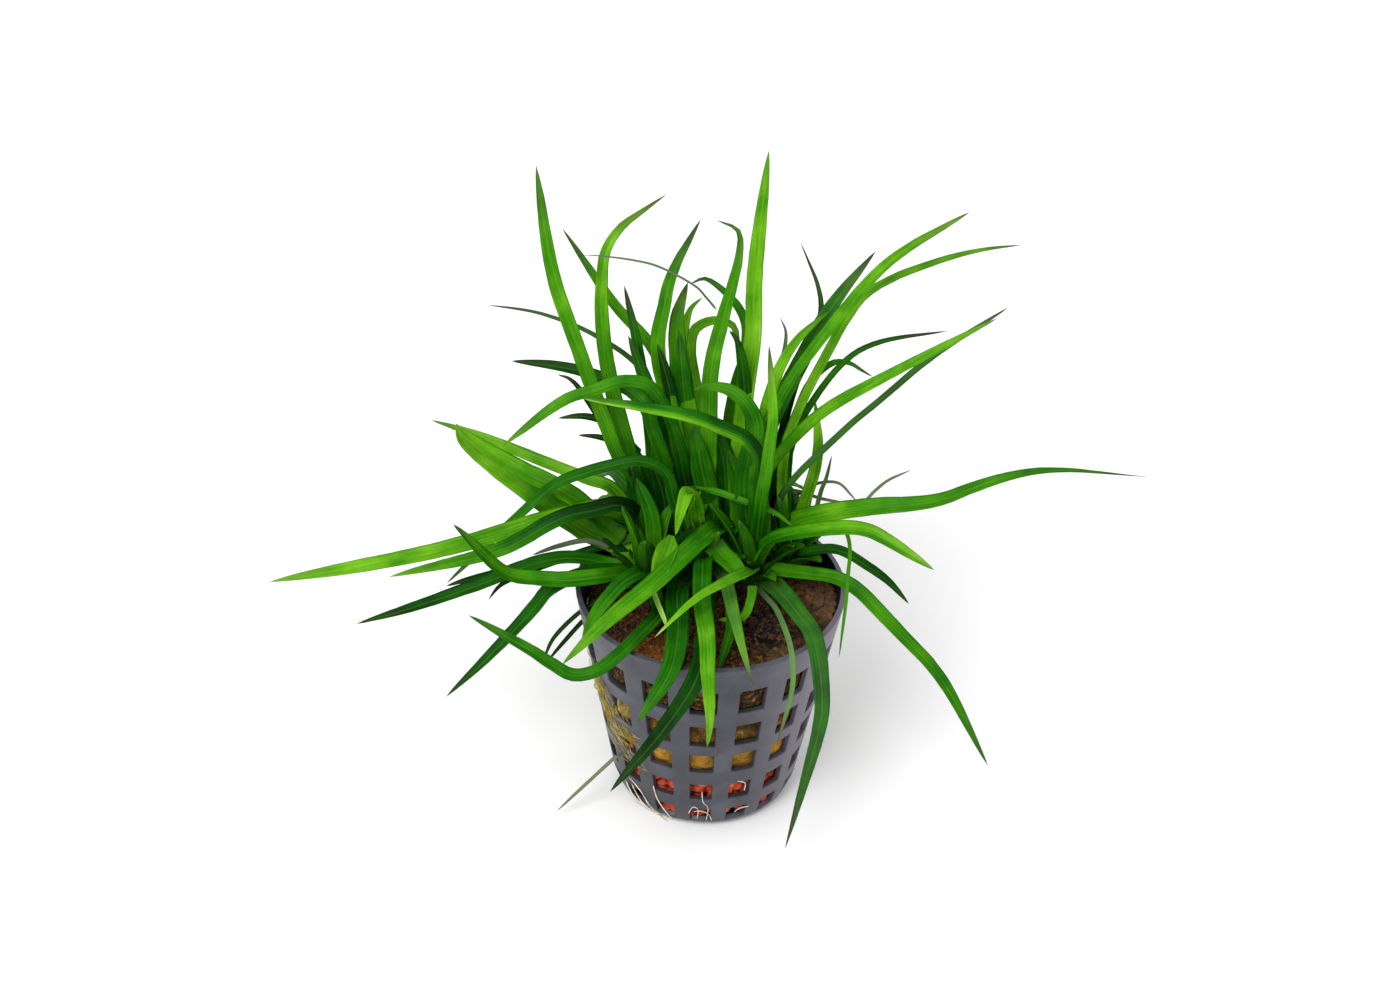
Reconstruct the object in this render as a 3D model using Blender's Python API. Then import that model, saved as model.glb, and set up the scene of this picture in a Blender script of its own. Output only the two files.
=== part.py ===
"""Potted pipewort: rosettes of strap leaves rooted in a mineral wool plug, in a slotted net pot.

Metres, +Z up. The origin is the middle of the pot's flat underside. The leaves' places are written as they
are seen from the front: millimetres across and up in the viewing plane, and how far behind the pot's axis.
"""

import math
from itertools import combinations

import bmesh
import bpy
import numpy as np
from mathutils import Vector
from mathutils.bvhtree import BVHTree

MM = 0.001
MERGE = 0.01 * MM
CREASE = math.radians(50)

# The direction that the leaves' places are read from
VIEW_ELEVATION = math.radians(37)
VIEW_ROLL = math.radians(2)
VIEW_DISTANCE = 700 * MM
VIEW_TARGET = Vector((-2.8, 0, 71)) * MM

# Net pot: each row of holes is its lower and upper edge in mm, and the slots' pitch is in columns of holes
POT_HEIGHT = 49.3 * MM
POT_TOP_RADIUS = 27.6 * MM
POT_BASE_RADIUS = 18.6 * MM
POT_BASE_ROUND = 4 * MM
POT_WALL = 1.2 * MM
POT_COLUMNS = 16
POT_TURN = math.radians(-1.5)
COLUMN_STEPS = 3
HOLE_SHARE = 0.56
HOLE_ROWS = [(1.6, 5.6), (8.9, 13.6), (17.6, 23.0), (26.0, 32.0), (36.0, 42.6)]
BASE_SLOT_IN = 5 * MM
BASE_SLOT_OUT = 10 * MM
BASE_SLOT_PITCH = 4

# Growing medium: the wool's top has a shoulder, from which it swells a little
GAP = 0.3 * MM
CLAY_TOP = 12 * MM
WOOL_TOP = 43 * MM
WOOL_SWELL = 1.2 * MM
PLUG_SHOULDER = 0.75
PLUG_SHOULDER_RISE = 0.8
PLUG_SIDES = 30

# Crowns: the short thick stems that the leaves grow from, as (right, back) on the wool
CROWN_RADIUS = 3.6 * MM
CROWN_HEIGHT = 7.5 * MM
CROWN_HEART = 2.5 * MM
CROWN_SIDES = 12
CROWN_RINGS = 8
CROWNS = {
    "crown_left": (-13.0, 5.0),
    "crown_left_back": (-12.5, 15.0),
    "crown_middle": (-1.5, 8.0),
    "crown_back": (-3.5, 17.5),
    "crown_right": (8.5, 8.5),
    "crown_right_back": (6.0, 18.3),
    "crown_far_right": (15.4, 13.8),
}

# Leaf blades: the fold is the rise of the edges over the blade's width
LEAF_THICKNESS = 0.8 * MM
LEAF_FOLD = 0.2
LEAF_FULLNESS = 1.14
LEAF_FOOT_SHARE = 0.42
LEAF_FOOT_LENGTH = 0.3
LEAF_TAPER = 4.5
LEAF_TIP_SHARE = 0.08
LEAF_THIN_SHARE = 0.33
LEAF_STATIONS = 14
PATH_STEP = 0.05
PATH_FINE = 200

# Leaves that would grow through each other are eased apart by a step at a time, over a spread of stations
EASE_STEP = 0.25 * MM
EASE_ROUNDS = 90
EASE_SPREAD = 1.6
EASE_ROOTED = 3
EASE_AT_FOOT = 0.1

# How much farther behind its crown each leaf leans than its points say
BACK_LEAN = 0.3

# Leaf name, its crown, its width, then the points it passes from base to tip: across, up and back, in mm
LEAVES = [
    ("leaf_tall_left", "crown_left_back", 3.2,
     [(-12.6, 3, 13.5), (-16.6, 9, 14), (-25, 31.8, 18), (-29.6, 46, 22), (-32.8, 67, 26)]),
    ("leaf_left_hook", "crown_left_back", 2.9,
     [(-13.4, 5, 16.5), (-18.6, 26, 21), (-19.8, 41.4, 26), (-17.6, 52.4, 31), (-6.6, 61.2, 36)]),
    ("leaf_left_short_spear", "crown_left_back", 2.2,
     [(-9.6, 7, 19.5), (-10.6, 18, 22.5), (-12.6, 31, 26), (-15.2, 43, 29)]),
    ("leaf_left_rising", "crown_left_back", 2.5,
     [(-17, 1.5, 15.5), (-22.6, 4, 17), (-31.8, 7.6, 20), (-44, 12.6, 23), (-53.8, 16, 25)]),
    ("leaf_long_left", "crown_left_back", 3.6,
     [(-17.5, -2.2, 12.5), (-28.8, -3.6, 8.5), (-46.6, -9, 3), (-64, -12.8, -1), (-86.2, -16.4, -5)]),
    ("leaf_long_left_upper", "crown_left_back", 3.2,
     [(-14.6, -1.6, 8.5), (-22.6, -2.6, 5), (-28.6, -4.2, 3), (-41, -10.6, -2), (-62.2, -15.4, -8)]),
    ("leaf_left_broad", "crown_left", 4.2,
     [(-14.8, -9.8, 8), (-22.6, -6.6, 10), (-34, 1.4, 13), (-46.6, 11, 17), (-48.8, 15.4, 18)]),
    ("leaf_left_low_dark", "crown_left", 2.7,
     [(-22.8, -12, 3), (-32, -12.6, 0), (-44.4, -17.2, -4), (-57.4, -21.6, -8), (-68.8, -24.8, -12)]),
    ("leaf_left_upturned", "crown_left", 2.8,
     [(-15, -15, 3), (-25.8, -16.2, -4), (-34, -15.8, -6), (-40.2, -14.2, -8), (-49.4, -4.8, -13)]),
    ("leaf_left_drooping", "crown_left", 2.8,
     [(-20, -14.4, 1.2), (-29, -17.4, -4.6), (-34, -22.8, -7), (-42.2, -31.4, -13), (-50.8, -39.4, -18)]),
    ("leaf_left_bowed", "crown_left", 3.0,
     [(-8.2, -22.4, -8), (-10.6, -25.6, -15), (-18.2, -32.8, -27), (-25, -35.4, -29), (-34, -30.2, -28),
      (-46.4, -23, -26)]),
    ("leaf_left_over_rim", "crown_left", 3.4,
     [(-11.4, -14.6, -2), (-15, -16.4, -6), (-18.2, -19.6, -9.5), (-21.2, -23.6, -13), (-23.8, -29.6, -20)]),
    ("leaf_middle_arched_left", "crown_middle", 2.4,
     [(-5, -1, 8.5), (-7.4, 6, 9), (-12, 7.6, 8.5), (-19.4, 6.2, 8), (-28.6, 3, 9), (-34.8, -2.2, 10),
      (-50.8, -16.8, 12)]),
    ("leaf_front_hanging", "crown_middle", 3.4,
     [(0.6, -12, 0), (0.4, -20.4, -13), (1.4, -28.2, -26), (1.6, -35.8, -33), (2, -44, -36),
      (1.4, -49.6, -37)]),
    ("leaf_front_pale", "crown_middle", 2.2,
     [(4.6, -15.5, -1), (6.6, -22.6, -13.5), (8.4, -29.6, -24), (10.6, -37, -32)]),
    ("leaf_front_low_dark", "crown_middle", 2.8,
     [(1.2, -20, -6), (0.8, -29.5, -23), (-1.2, -37, -33), (-7.8, -46.8, -33.5), (-18, -58.4, -34)]),
    ("leaf_front_low_bright", "crown_middle", 3.8,
     [(-4.2, -17.4, -3), (-4.4, -26, -18), (-5.4, -32.8, -27), (-7.6, -37.4, -31), (-12.4, -44.4, -33)]),
    ("leaf_middle_young", "crown_middle", 2.4,
     [(-0.8, -6, 7.2), (-1, -1, 5.5), (0.2, 1.8, 4)]),
    ("leaf_front_left_broad", "crown_right_back", 4.4,
     [(4, -6, 9), (0.2, -8.2, 2.2), (-9, -16.8, -9), (-18.2, -24.2, -18), (-27.6, -33, -26)]),
    ("leaf_centre_tall", "crown_right_back", 3.3,
     [(7.4, 4, 18), (9.2, 21.8, 24), (10.6, 32.2, 27), (11, 45.4, 31), (13.8, 70, 38)]),
    ("leaf_right_tall_bright", "crown_right_back", 3.2,
     [(9.5, 6, 14.5), (16.6, 20.8, 17), (23.4, 30.8, 19.5), (37.2, 46.8, 26), (54, 57.6, 34)]),
    ("leaf_right_tall_grey", "crown_right_back", 3.0,
     [(12, 10, 20), (20.8, 28.4, 25), (26.6, 38.8, 29), (35.2, 49.8, 34)]),
    ("leaf_right_curved_thin", "crown_right_back", 1.6,
     [(12, 12, 24), (18.8, 25.8, 29), (23.2, 33.4, 32), (24, 41, 35), (20, 51.8, 39)]),
    ("leaf_right_inner", "crown_right_back", 2.5,
     [(11.4, 9, 17.5), (14.4, 22, 20.5), (18.8, 31, 24), (26, 38, 29)]),
    ("leaf_right_grey_bent", "crown_right_back", 1.7,
     [(13.5, 6, 21), (18.6, 15.6, 23), (22.4, 23.8, 25.5), (28, 27.6, 28), (34.6, 24.6, 31)]),
    ("leaf_back_arched_dark", "crown_right_back", 1.6,
     [(8.8, 16, 27), (9.2, 28, 32), (8.6, 36.8, 35), (2, 43.8, 39), (-2, 43.2, 41)]),
    ("leaf_middle_arched_band", "crown_right", 2.8,
     [(8.8, 3, 11), (11, 14, 11.5), (7.6, 20.6, 13), (1.8, 22.6, 16), (-1.6, 21.8, 18)]),
    ("leaf_crossing", "crown_right", 3.1,
     [(11.4, 2, 7.5), (10.4, 10.4, 6.5), (3.4, 14.4, 5), (-2.8, 16.6, 4), (-12, 18.4, 4), (-24, 20.4, 4)]),
    ("leaf_front_torn", "crown_right", 2.6,
     [(10, -14.4, -1), (4.8, -16.8, -11), (-1.4, -20.4, -19), (-9.2, -27.6, -26)]),
    ("leaf_front_right_hanging", "crown_right", 4.2,
     [(16.2, -18.8, -1), (20, -23.6, -10), (22.8, -28, -18), (24, -35, -26), (24.4, -40.6, -29),
      (23.6, -47, -30.5), (18.8, -63.8, -32), (17, -69.8, -33)]),
    ("leaf_right_hanging", "crown_right", 3.6,
     [(19, -14.6, 3), (25.4, -15.6, 0), (30.2, -17.2, -3), (39.8, -26.8, -9), (48.4, -36.4, -13),
      (57.6, -53.2, -18)]),
    ("leaf_right_short", "crown_right", 2.8,
     [(14, -8.4, 3), (22.8, -6.4, -2), (29.6, -6, -5), (35, -7, -8), (46.8, -14, -14)]),
    ("leaf_front_right_thin", "crown_right", 1.7,
     [(12.4, -18.6, 0), (15.2, -22, -8), (17.8, -28.4, -21), (18.6, -33.8, -26), (18.2, -39.2, -28),
      (15.4, -49, -28)]),
    ("leaf_right_front_spear", "crown_right", 2.4,
     [(12.4, 0.4, 3.5), (13.2, 5, 3), (14, 11, 3.6), (14.6, 17.2, 5), (13.8, 31, 12)]),
    ("leaf_right_long_bright", "crown_right_back", 3.0,
     [(11.8, 2.6, 14.5), (17.8, 10.8, 13), (25.4, 17.8, 12.5), (36.8, 24.2, 12.5), (48.4, 30.4, 13.5),
      (59.6, 36.4, 15)]),
    ("leaf_far_right_long", "crown_far_right", 3.2,
     [(18.6, -5, 10), (30.8, -2.2, 6), (46.8, -0.6, 3), (58.6, 3.6, 2), (71, 5.8, 3), (91.8, 4.4, 6)]),
    ("leaf_far_right_dark", "crown_far_right", 2.1,
     [(21, -10.4, 10), (27.6, -10.2, 9), (33.4, -13.4, 8), (37.8, -16.6, 7), (41.8, -20.8, 5)]),
    ("leaf_far_right_under", "crown_far_right", 2.1,
     [(16, 0, 12.5), (27.4, 12.4, 14.5), (36.8, 20.4, 16), (46.4, 28.4, 17.5), (61.8, 38.6, 21)]),
    ("leaf_far_right_upright", "crown_far_right", 2.3,
     [(20.4, -2, 15.5), (22.8, 5.2, 17.5), (23.6, 11.2, 19), (23, 20, 22)]),
    ("leaf_far_right_arched", "crown_far_right", 1.8,
     [(17.8, 8, 18), (20.2, 15.6, 19.5), (28, 26.6, 21), (35.8, 31.4, 23), (49.6, 33.8, 26)]),
    ("leaf_far_right_rising", "crown_far_right", 2.4,
     [(17, 10, 16.5), (27.4, 32.6, 23), (35, 42.2, 27), (52.2, 49, 31), (64.4, 51, 33)]),
    ("leaf_back_crossed", "crown_back", 2.8,
     [(-4, 7, 22.5), (-7.8, 27, 31), (-17.6, 39.4, 36), (-27.6, 54.4, 40)]),
    ("leaf_back_left_thin", "crown_back", 1.4,
     [(-6.6, 12, 26), (-11, 25, 30), (-21.4, 33, 32), (-32.6, 37.4, 34), (-42.8, 39, 36)]),
    ("leaf_back_left_dark", "crown_back", 1.8,
     [(-8.4, 11, 18.5), (-12, 20, 21.5), (-20.8, 24.6, 25), (-28.6, 26.6, 27), (-37.8, 27.8, 30)]),
    ("leaf_back_left_arched", "crown_back", 2.6,
     [(-4.6, 11, 15.5), (-9, 21, 14), (-13.8, 23.6, 13), (-20.8, 21.8, 12), (-28, 19.2, 10),
      (-39.4, 10.8, 5)]),
    ("leaf_centre_hooked", "crown_back", 2.7,
     [(1.4, 4, 17), (2, 23.6, 22), (3.6, 32.2, 26), (7.6, 47.4, 31.5), (7.6, 53.8, 34.5), (3.2, 56, 36)]),
    ("leaf_centre_spear", "crown_back", 2.3,
     [(-5, 14, 21.5), (-8.4, 28.8, 26), (-7.4, 37.2, 29), (-5.4, 45.4, 33), (0.2, 56.2, 38)]),
    ("leaf_centre_bent", "crown_back", 2.7,
     [(0.2, 5, 19.5), (-3, 18.8, 24), (-4.6, 32.2, 29), (-4.4, 37.2, 31), (-2.4, 43.6, 35)]),
    ("leaf_back_short", "crown_back", 2.0,
     [(-2.6, 14, 27), (-3.8, 29, 35.5), (-1.8, 38.2, 39.5), (0.6, 40.6, 41)]),
    ("leaf_back_looped", "crown_back", 1.8,
     [(0.6, 12, 27.5), (-2, 29.6, 39), (0.6, 35.2, 42), (6.6, 34.6, 43.5), (7.6, 27.8, 43)]),
]

# Each finish: its colour as linear red, green and blue, then its roughness
FINISHES = {
    "black_polypropylene": ((0.035, 0.036, 0.045), 0.4),
    "mineral_wool": ((0.12, 0.055, 0.022), 0.95),
    "fired_clay": ((0.36, 0.07, 0.02), 0.9),
    "leaf_bases": ((0.14, 0.3, 0.03), 0.5),
    "leaf_blades": ((0.06, 0.27, 0.012), 0.45),
}


def material(name):
    """A Principled material with one colour."""
    colour, roughness = FINISHES[name]
    made = bpy.data.materials.new(name)
    made.use_nodes = True
    shader = made.node_tree.nodes["Principled BSDF"]
    shader.inputs["Base Color"].default_value = (*colour, 1)
    shader.inputs["Roughness"].default_value = roughness
    return made


def add_object(name, bm, finish):
    """Makes the bmesh an object of its own, with smooth shading but for its creases."""
    mesh = bpy.data.meshes.new(name)
    bm.to_mesh(mesh)
    bm.free()
    mesh.materials.append(finish)
    mesh.shade_smooth()
    mesh.set_sharp_from_angle(angle=CREASE)
    made = bpy.data.objects.new(name, mesh)
    bpy.context.scene.collection.objects.link(made)
    return made


def add_turned(bm, profile, steps):
    """Turns a profile, given as radius and height, all the way round the upright axis."""
    verts = [bm.verts.new((radius, 0, height)) for radius, height in profile]
    edges = [bm.edges.new(pair) for pair in zip(verts, verts[1:])]
    bmesh.ops.spin(bm, geom=verts + edges, axis=(0, 0, 1), cent=(0, 0, 0), angle=math.tau,
                   steps=steps, use_merge=True)
    bmesh.ops.remove_doubles(bm, verts=bm.verts, dist=MERGE)
    bmesh.ops.recalc_face_normals(bm, faces=bm.faces)


def pot_radius(height):
    """Outer radius of the pot at a height: a cone with a rounded lower edge."""
    taper = (POT_TOP_RADIUS - POT_BASE_RADIUS) / POT_HEIGHT
    cone = POT_BASE_RADIUS + taper * max(height, POT_BASE_ROUND)
    drop = max(0, POT_BASE_ROUND - height)
    return cone - POT_BASE_ROUND + math.sqrt(POT_BASE_ROUND**2 - drop**2)


def is_open(place):
    """Whether the pot's skin is left out here, for a hole in its wall or a slot in its base."""
    column = math.atan2(place.y, place.x) % math.tau / math.tau * POT_COLUMNS
    if place.z < MERGE:
        in_ring = BASE_SLOT_IN < place.xy.length < BASE_SLOT_OUT
        return in_ring and column % BASE_SLOT_PITCH < BASE_SLOT_PITCH - 1
    in_row = any(low * MM < place.z < high * MM for low, high in HOLE_ROWS)
    return in_row and column % 1 < 1 - 1 / COLUMN_STEPS


def add_pot(finish):
    """A skin turned round the axis, its holes left out, given its wall by Solidify."""
    heights = sorted([POT_BASE_ROUND, POT_HEIGHT] + [edge * MM for row in HOLE_ROWS for edge in row])
    profile = [(0, 0), (BASE_SLOT_IN, 0), (BASE_SLOT_OUT, 0), (pot_radius(0), 0)]
    profile += [(pot_radius(height), height) for height in heights]
    steps = COLUMN_STEPS * POT_COLUMNS
    bm = bmesh.new()
    add_turned(bm, profile, steps)
    doomed = [face for face in bm.faces if is_open(face.calc_center_median())]
    bmesh.ops.delete(bm, geom=doomed, context="FACES")
    for v in bm.verts:
        step = round(math.atan2(v.co.y, v.co.x) % math.tau / math.tau * steps)
        column, part = divmod(step, COLUMN_STEPS)
        column += (part - 1) * HOLE_SHARE / (COLUMN_STEPS - 1)
        angle = column / POT_COLUMNS * math.tau - math.pi / 2 + POT_TURN
        radius = v.co.xy.length
        v.co.xy = radius * math.cos(angle), radius * math.sin(angle)
    lowest = min(bm.faces, key=lambda face: face.calc_center_median().z)
    if lowest.normal.z > 0:
        bmesh.ops.reverse_faces(bm, faces=bm.faces)
    wall = add_object("net_pot", bm, finish).modifiers.new("wall", "SOLIDIFY")
    wall.thickness = POT_WALL
    wall.offset = -1
    wall.use_even_offset = True


def add_plug(name, low, high, swell, finish):
    """A tapered plug that fills the pot between two heights."""
    def inner(height):
        return pot_radius(height) - POT_WALL - 2 * GAP

    if low < POT_BASE_ROUND:
        foot = [(pot_radius(0) - GAP, low), (inner(POT_BASE_ROUND), POT_BASE_ROUND + GAP)]
    else:
        foot = [(inner(low), low)]
    top = [(inner(high), high), (inner(high) * PLUG_SHOULDER, high + swell * PLUG_SHOULDER_RISE)]
    bm = bmesh.new()
    add_turned(bm, [(0, low), *foot, *top, (0, high + swell)], PLUG_SIDES)
    add_object(name, bm, finish)


def crown_foot():
    """Height of a crown's flat underside, just clear of the wool."""
    return WOOL_TOP + WOOL_SWELL + GAP


def add_crown(name, finish):
    """A short domed stem, cut flat where it stands on the wool."""
    right, back = CROWNS[name]
    bm = bmesh.new()
    bmesh.ops.create_uvsphere(bm, u_segments=CROWN_SIDES, v_segments=CROWN_RINGS, radius=1)
    bmesh.ops.scale(bm, verts=bm.verts, vec=(CROWN_RADIUS, CROWN_RADIUS, CROWN_HEIGHT))
    bmesh.ops.bisect_plane(bm, geom=bm.verts[:] + bm.edges[:] + bm.faces[:], plane_co=(0, 0, 0),
                           plane_no=(0, 0, 1), clear_inner=True)
    bmesh.ops.holes_fill(bm, edges=[edge for edge in bm.edges if edge.is_boundary])
    bmesh.ops.translate(bm, verts=bm.verts, vec=(right * MM, back * MM, crown_foot()))
    add_object(name, bm, finish)


def view_axes():
    """Across, up and toward the viewer, for the direction that the leaves' places are read from."""
    toward = Vector((0, -math.cos(VIEW_ELEVATION), math.sin(VIEW_ELEVATION)))
    level = Vector((1, 0, 0))
    rise = Vector((0, math.sin(VIEW_ELEVATION), math.cos(VIEW_ELEVATION)))
    across = level * math.cos(VIEW_ROLL) + rise * math.sin(VIEW_ROLL)
    up = rise * math.cos(VIEW_ROLL) - level * math.sin(VIEW_ROLL)
    return across, up, toward


def eye_point():
    """Where the leaves are looked at from."""
    return VIEW_TARGET + view_axes()[2] * VIEW_DISTANCE


def seen(across, up, back):
    """The point seen at these distances across and up from the front, so far behind the pot's axis."""
    across_axis, up_axis, _ = view_axes()
    eye = eye_point()
    ray = VIEW_TARGET + across_axis * across + up_axis * up - eye
    return eye + ray * ((back - eye.y) / ray.y)


def smooth_path(points, count):
    """Evenly spaced places on a smooth curve through the points."""
    points = np.array(points)
    ends = [2 * points[0] - points[1], *points, 2 * points[-1] - points[-2]]
    fine = []
    for a, b, c, d in zip(ends, ends[1:], ends[2:], ends[3:]):
        for t in np.arange(0, 1, PATH_STEP):
            fine.append(0.5 * (2 * b + (c - a) * t + (2 * a - 5 * b + 4 * c - d) * t**2
                               + (3 * b - a - 3 * c + d) * t**3))
    fine = np.array([*fine, points[-1]])
    length = np.concatenate([[0], np.cumsum(np.linalg.norm(np.diff(fine, axis=0), axis=1))])
    wanted = np.linspace(0, length[-1], count)
    return np.stack([np.interp(wanted, length, fine[:, axis]) for axis in range(3)], axis=1)


def leaf_path(crown, points):
    """The leaf's middle line, from where it leaves its crown to its tip."""
    right, behind = (place * MM for place in CROWNS[crown])
    foot = np.array([right, behind, crown_foot()])
    route = [foot + (0, 0, CROWN_HEART)]
    for across, up, back in points:
        lean = max(0, back * MM - behind) * BACK_LEAN
        route.append(seen(across * MM, up * MM, back * MM + lean))
    fine = smooth_path(route, PATH_FINE)
    dome = np.array([CROWN_RADIUS, CROWN_RADIUS, CROWN_HEIGHT]) + 2 * GAP + LEAF_THICKNESS / 2
    inside = np.nonzero(np.linalg.norm((fine - foot) / dome, axis=1) < 1)[0]
    return smooth_path(fine[inside.max() + 1:], LEAF_STATIONS)


def leaf_sections(path, width, extra=0.0):
    """Four corners of the leaf's folded section at each station: left edge, keel, right edge, groove."""
    run = np.gradient(path, axis=0)
    run /= np.linalg.norm(run, axis=1)[:, None]
    facing = np.array(view_axes()[2]) + (0, 0, 1)
    side = np.cross(run, facing)
    side /= np.linalg.norm(side, axis=1)[:, None]
    normal = np.cross(side, run)
    t = np.linspace(0, 1, len(path))
    ramp = np.clip(t / LEAF_FOOT_LENGTH, 0, 1)
    share = LEAF_FOOT_SHARE + (1 - LEAF_FOOT_SHARE) * ramp * ramp * (3 - 2 * ramp)
    share *= 1 - t**LEAF_TAPER
    half = (width * LEAF_FULLNESS / 2 * np.maximum(share, LEAF_TIP_SHARE) + extra)[:, None]
    thin = LEAF_THIN_SHARE + (1 - LEAF_THIN_SHARE) * share
    thick = (LEAF_THICKNESS / 2 * thin + extra)[:, None]
    edge = path + normal * half * LEAF_FOLD * 2
    return np.stack([edge - side * half, path - normal * thick, edge + side * half,
                     path + normal * thick], axis=1)


def crossings(paths, widths):
    """Each place where two leaves come within a gap of each other: the leaves and their stations."""
    names = list(paths)
    faces = [(4 * s + c, 4 * s + (c + 1) % 4, 4 * s + 4 + (c + 1) % 4, 4 * s + 4 + c)
             for s in range(LEAF_STATIONS - 1) for c in range(4)]
    corners = {n: leaf_sections(paths[n], widths[n], GAP / 2).reshape(-1, 3) for n in names}
    trees = {n: BVHTree.FromPolygons(corners[n].tolist(), faces) for n in names}
    for a, b in combinations(names, 2):
        apart = (corners[a].min(0) > corners[b].max(0)) | (corners[b].min(0) > corners[a].max(0))
        if not apart.any():
            for face_a, face_b in trees[a].overlap(trees[b]):
                yield a, face_a // 4, b, face_b // 4


def ease_apart(paths, widths):
    """Moves crossing leaves apart along the sight line, the nearer one forward and the other back."""
    eye = np.array(eye_point())
    places = np.arange(LEAF_STATIONS)
    rooted = np.clip(places / EASE_ROOTED, EASE_AT_FOOT, 1)
    for _ in range(EASE_ROUNDS):
        push = {name: np.zeros(LEAF_STATIONS) for name in paths}
        for a, at_a, b, at_b in crossings(paths, widths):
            near_a = np.linalg.norm(paths[a][at_a:at_a + 2].mean(0) - eye)
            near_b = np.linalg.norm(paths[b][at_b:at_b + 2].mean(0) - eye)
            way = 1 if near_a <= near_b else -1
            for name, at, sign in ((a, at_a, way), (b, at_b, -way)):
                bell = sign * np.exp(-((places - at - 0.5) / EASE_SPREAD) ** 2)
                push[name] = np.where(abs(bell) > abs(push[name]), bell, push[name])
        for name, path in paths.items():
            toward = eye - path
            toward /= np.linalg.norm(toward, axis=1)[:, None]
            paths[name] = path + toward * (push[name] * rooted)[:, None] * EASE_STEP


def add_leaf(name, path, width, finish):
    """A folded blade: one section face drawn out station by station, with extrude."""
    sections = leaf_sections(path, width)
    bm = bmesh.new()
    face = bm.faces.new([bm.verts.new(corner) for corner in sections[0]])
    for section in sections[1:]:
        drawn = bmesh.ops.extrude_discrete_faces(bm, faces=[face])["faces"][0]
        for v, corner in zip(drawn.verts, section):
            v.co = corner
        face = drawn
    bmesh.ops.holes_fill(bm, edges=[edge for edge in bm.edges if edge.is_boundary])
    if bm.calc_volume(signed=True) < 0:
        bmesh.ops.reverse_faces(bm, faces=bm.faces)
    add_object(name, bm, finish)


def build():
    """Everything, from an empty scene."""
    for stale in list(bpy.data.objects):
        bpy.data.objects.remove(stale)
    finish = {name: material(name) for name in FINISHES}
    add_pot(finish["black_polypropylene"])
    add_plug("clay_gravel", POT_WALL + GAP, CLAY_TOP, 0, finish["fired_clay"])
    add_plug("wool_plug", CLAY_TOP + GAP, WOOL_TOP, WOOL_SWELL, finish["mineral_wool"])
    for name in CROWNS:
        add_crown(name, finish["leaf_bases"])
    paths = {name: leaf_path(crown, points) for name, crown, _, points in LEAVES}
    widths = {name: width * MM for name, _, width, _ in LEAVES}
    ease_apart(paths, widths)
    for name, path in paths.items():
        add_leaf(name, path, widths[name], finish["leaf_blades"])


build()
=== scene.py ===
"""Looks of the potted pipewort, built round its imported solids.

Metres, +Z up, and the origin is the middle of the pot's flat underside. The leaves that the frame has are
laid along the middle lines of their solids. The smaller ones, the roots and the fibres are made here only.
"""

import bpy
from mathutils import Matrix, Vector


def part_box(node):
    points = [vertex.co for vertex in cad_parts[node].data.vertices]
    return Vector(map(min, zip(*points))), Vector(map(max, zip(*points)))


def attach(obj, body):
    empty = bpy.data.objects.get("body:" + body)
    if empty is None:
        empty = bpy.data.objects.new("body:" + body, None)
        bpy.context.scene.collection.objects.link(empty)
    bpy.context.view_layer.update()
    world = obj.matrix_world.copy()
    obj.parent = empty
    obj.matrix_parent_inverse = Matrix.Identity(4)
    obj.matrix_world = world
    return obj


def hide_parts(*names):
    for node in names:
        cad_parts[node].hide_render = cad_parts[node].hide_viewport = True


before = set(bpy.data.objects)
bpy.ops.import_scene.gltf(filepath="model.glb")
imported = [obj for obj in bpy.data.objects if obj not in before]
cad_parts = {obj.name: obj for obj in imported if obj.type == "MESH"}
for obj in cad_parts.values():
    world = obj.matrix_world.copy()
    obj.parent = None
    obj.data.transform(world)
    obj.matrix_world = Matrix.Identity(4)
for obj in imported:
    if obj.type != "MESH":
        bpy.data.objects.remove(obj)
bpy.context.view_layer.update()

import math
import random

import bmesh
import bpy
import numpy as np
from mathutils import Matrix, Vector, noise

# Camera: the photographer stands 0.7 m off and looks down at the pot by 37 degrees. The camera leans by
# 2 degrees, and a 90 mm lens takes in 280 mm at the pot.
MM = 0.001
LOOK_DOWN = math.radians(37)
LEAN = math.radians(2)
EYE_DISTANCE = 700 * MM
LOOK_AT = Vector((-2.8, 0, 71)) * MM
VIEW_WIDTH = 280 * MM
SENSOR_MM = 36

toward = Vector((0, -math.cos(LOOK_DOWN), math.sin(LOOK_DOWN)))
level = Vector((1, 0, 0))
rise = Vector((0, math.sin(LOOK_DOWN), math.cos(LOOK_DOWN)))
across = level * math.cos(LEAN) + rise * math.sin(LEAN)
up = rise * math.cos(LEAN) - level * math.sin(LEAN)
eye = LOOK_AT + toward * EYE_DISTANCE
camera = bpy.data.objects.new("camera", bpy.data.cameras.new("camera"))
bpy.context.scene.collection.objects.link(camera)
camera.matrix_world = Matrix.Translation(eye) @ Matrix((across, up, toward)).transposed().to_4x4()
camera.data.sensor_width = SENSOR_MM
camera.data.lens = SENSOR_MM * EYE_DISTANCE / VIEW_WIDTH
bpy.context.scene.camera = camera


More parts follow.
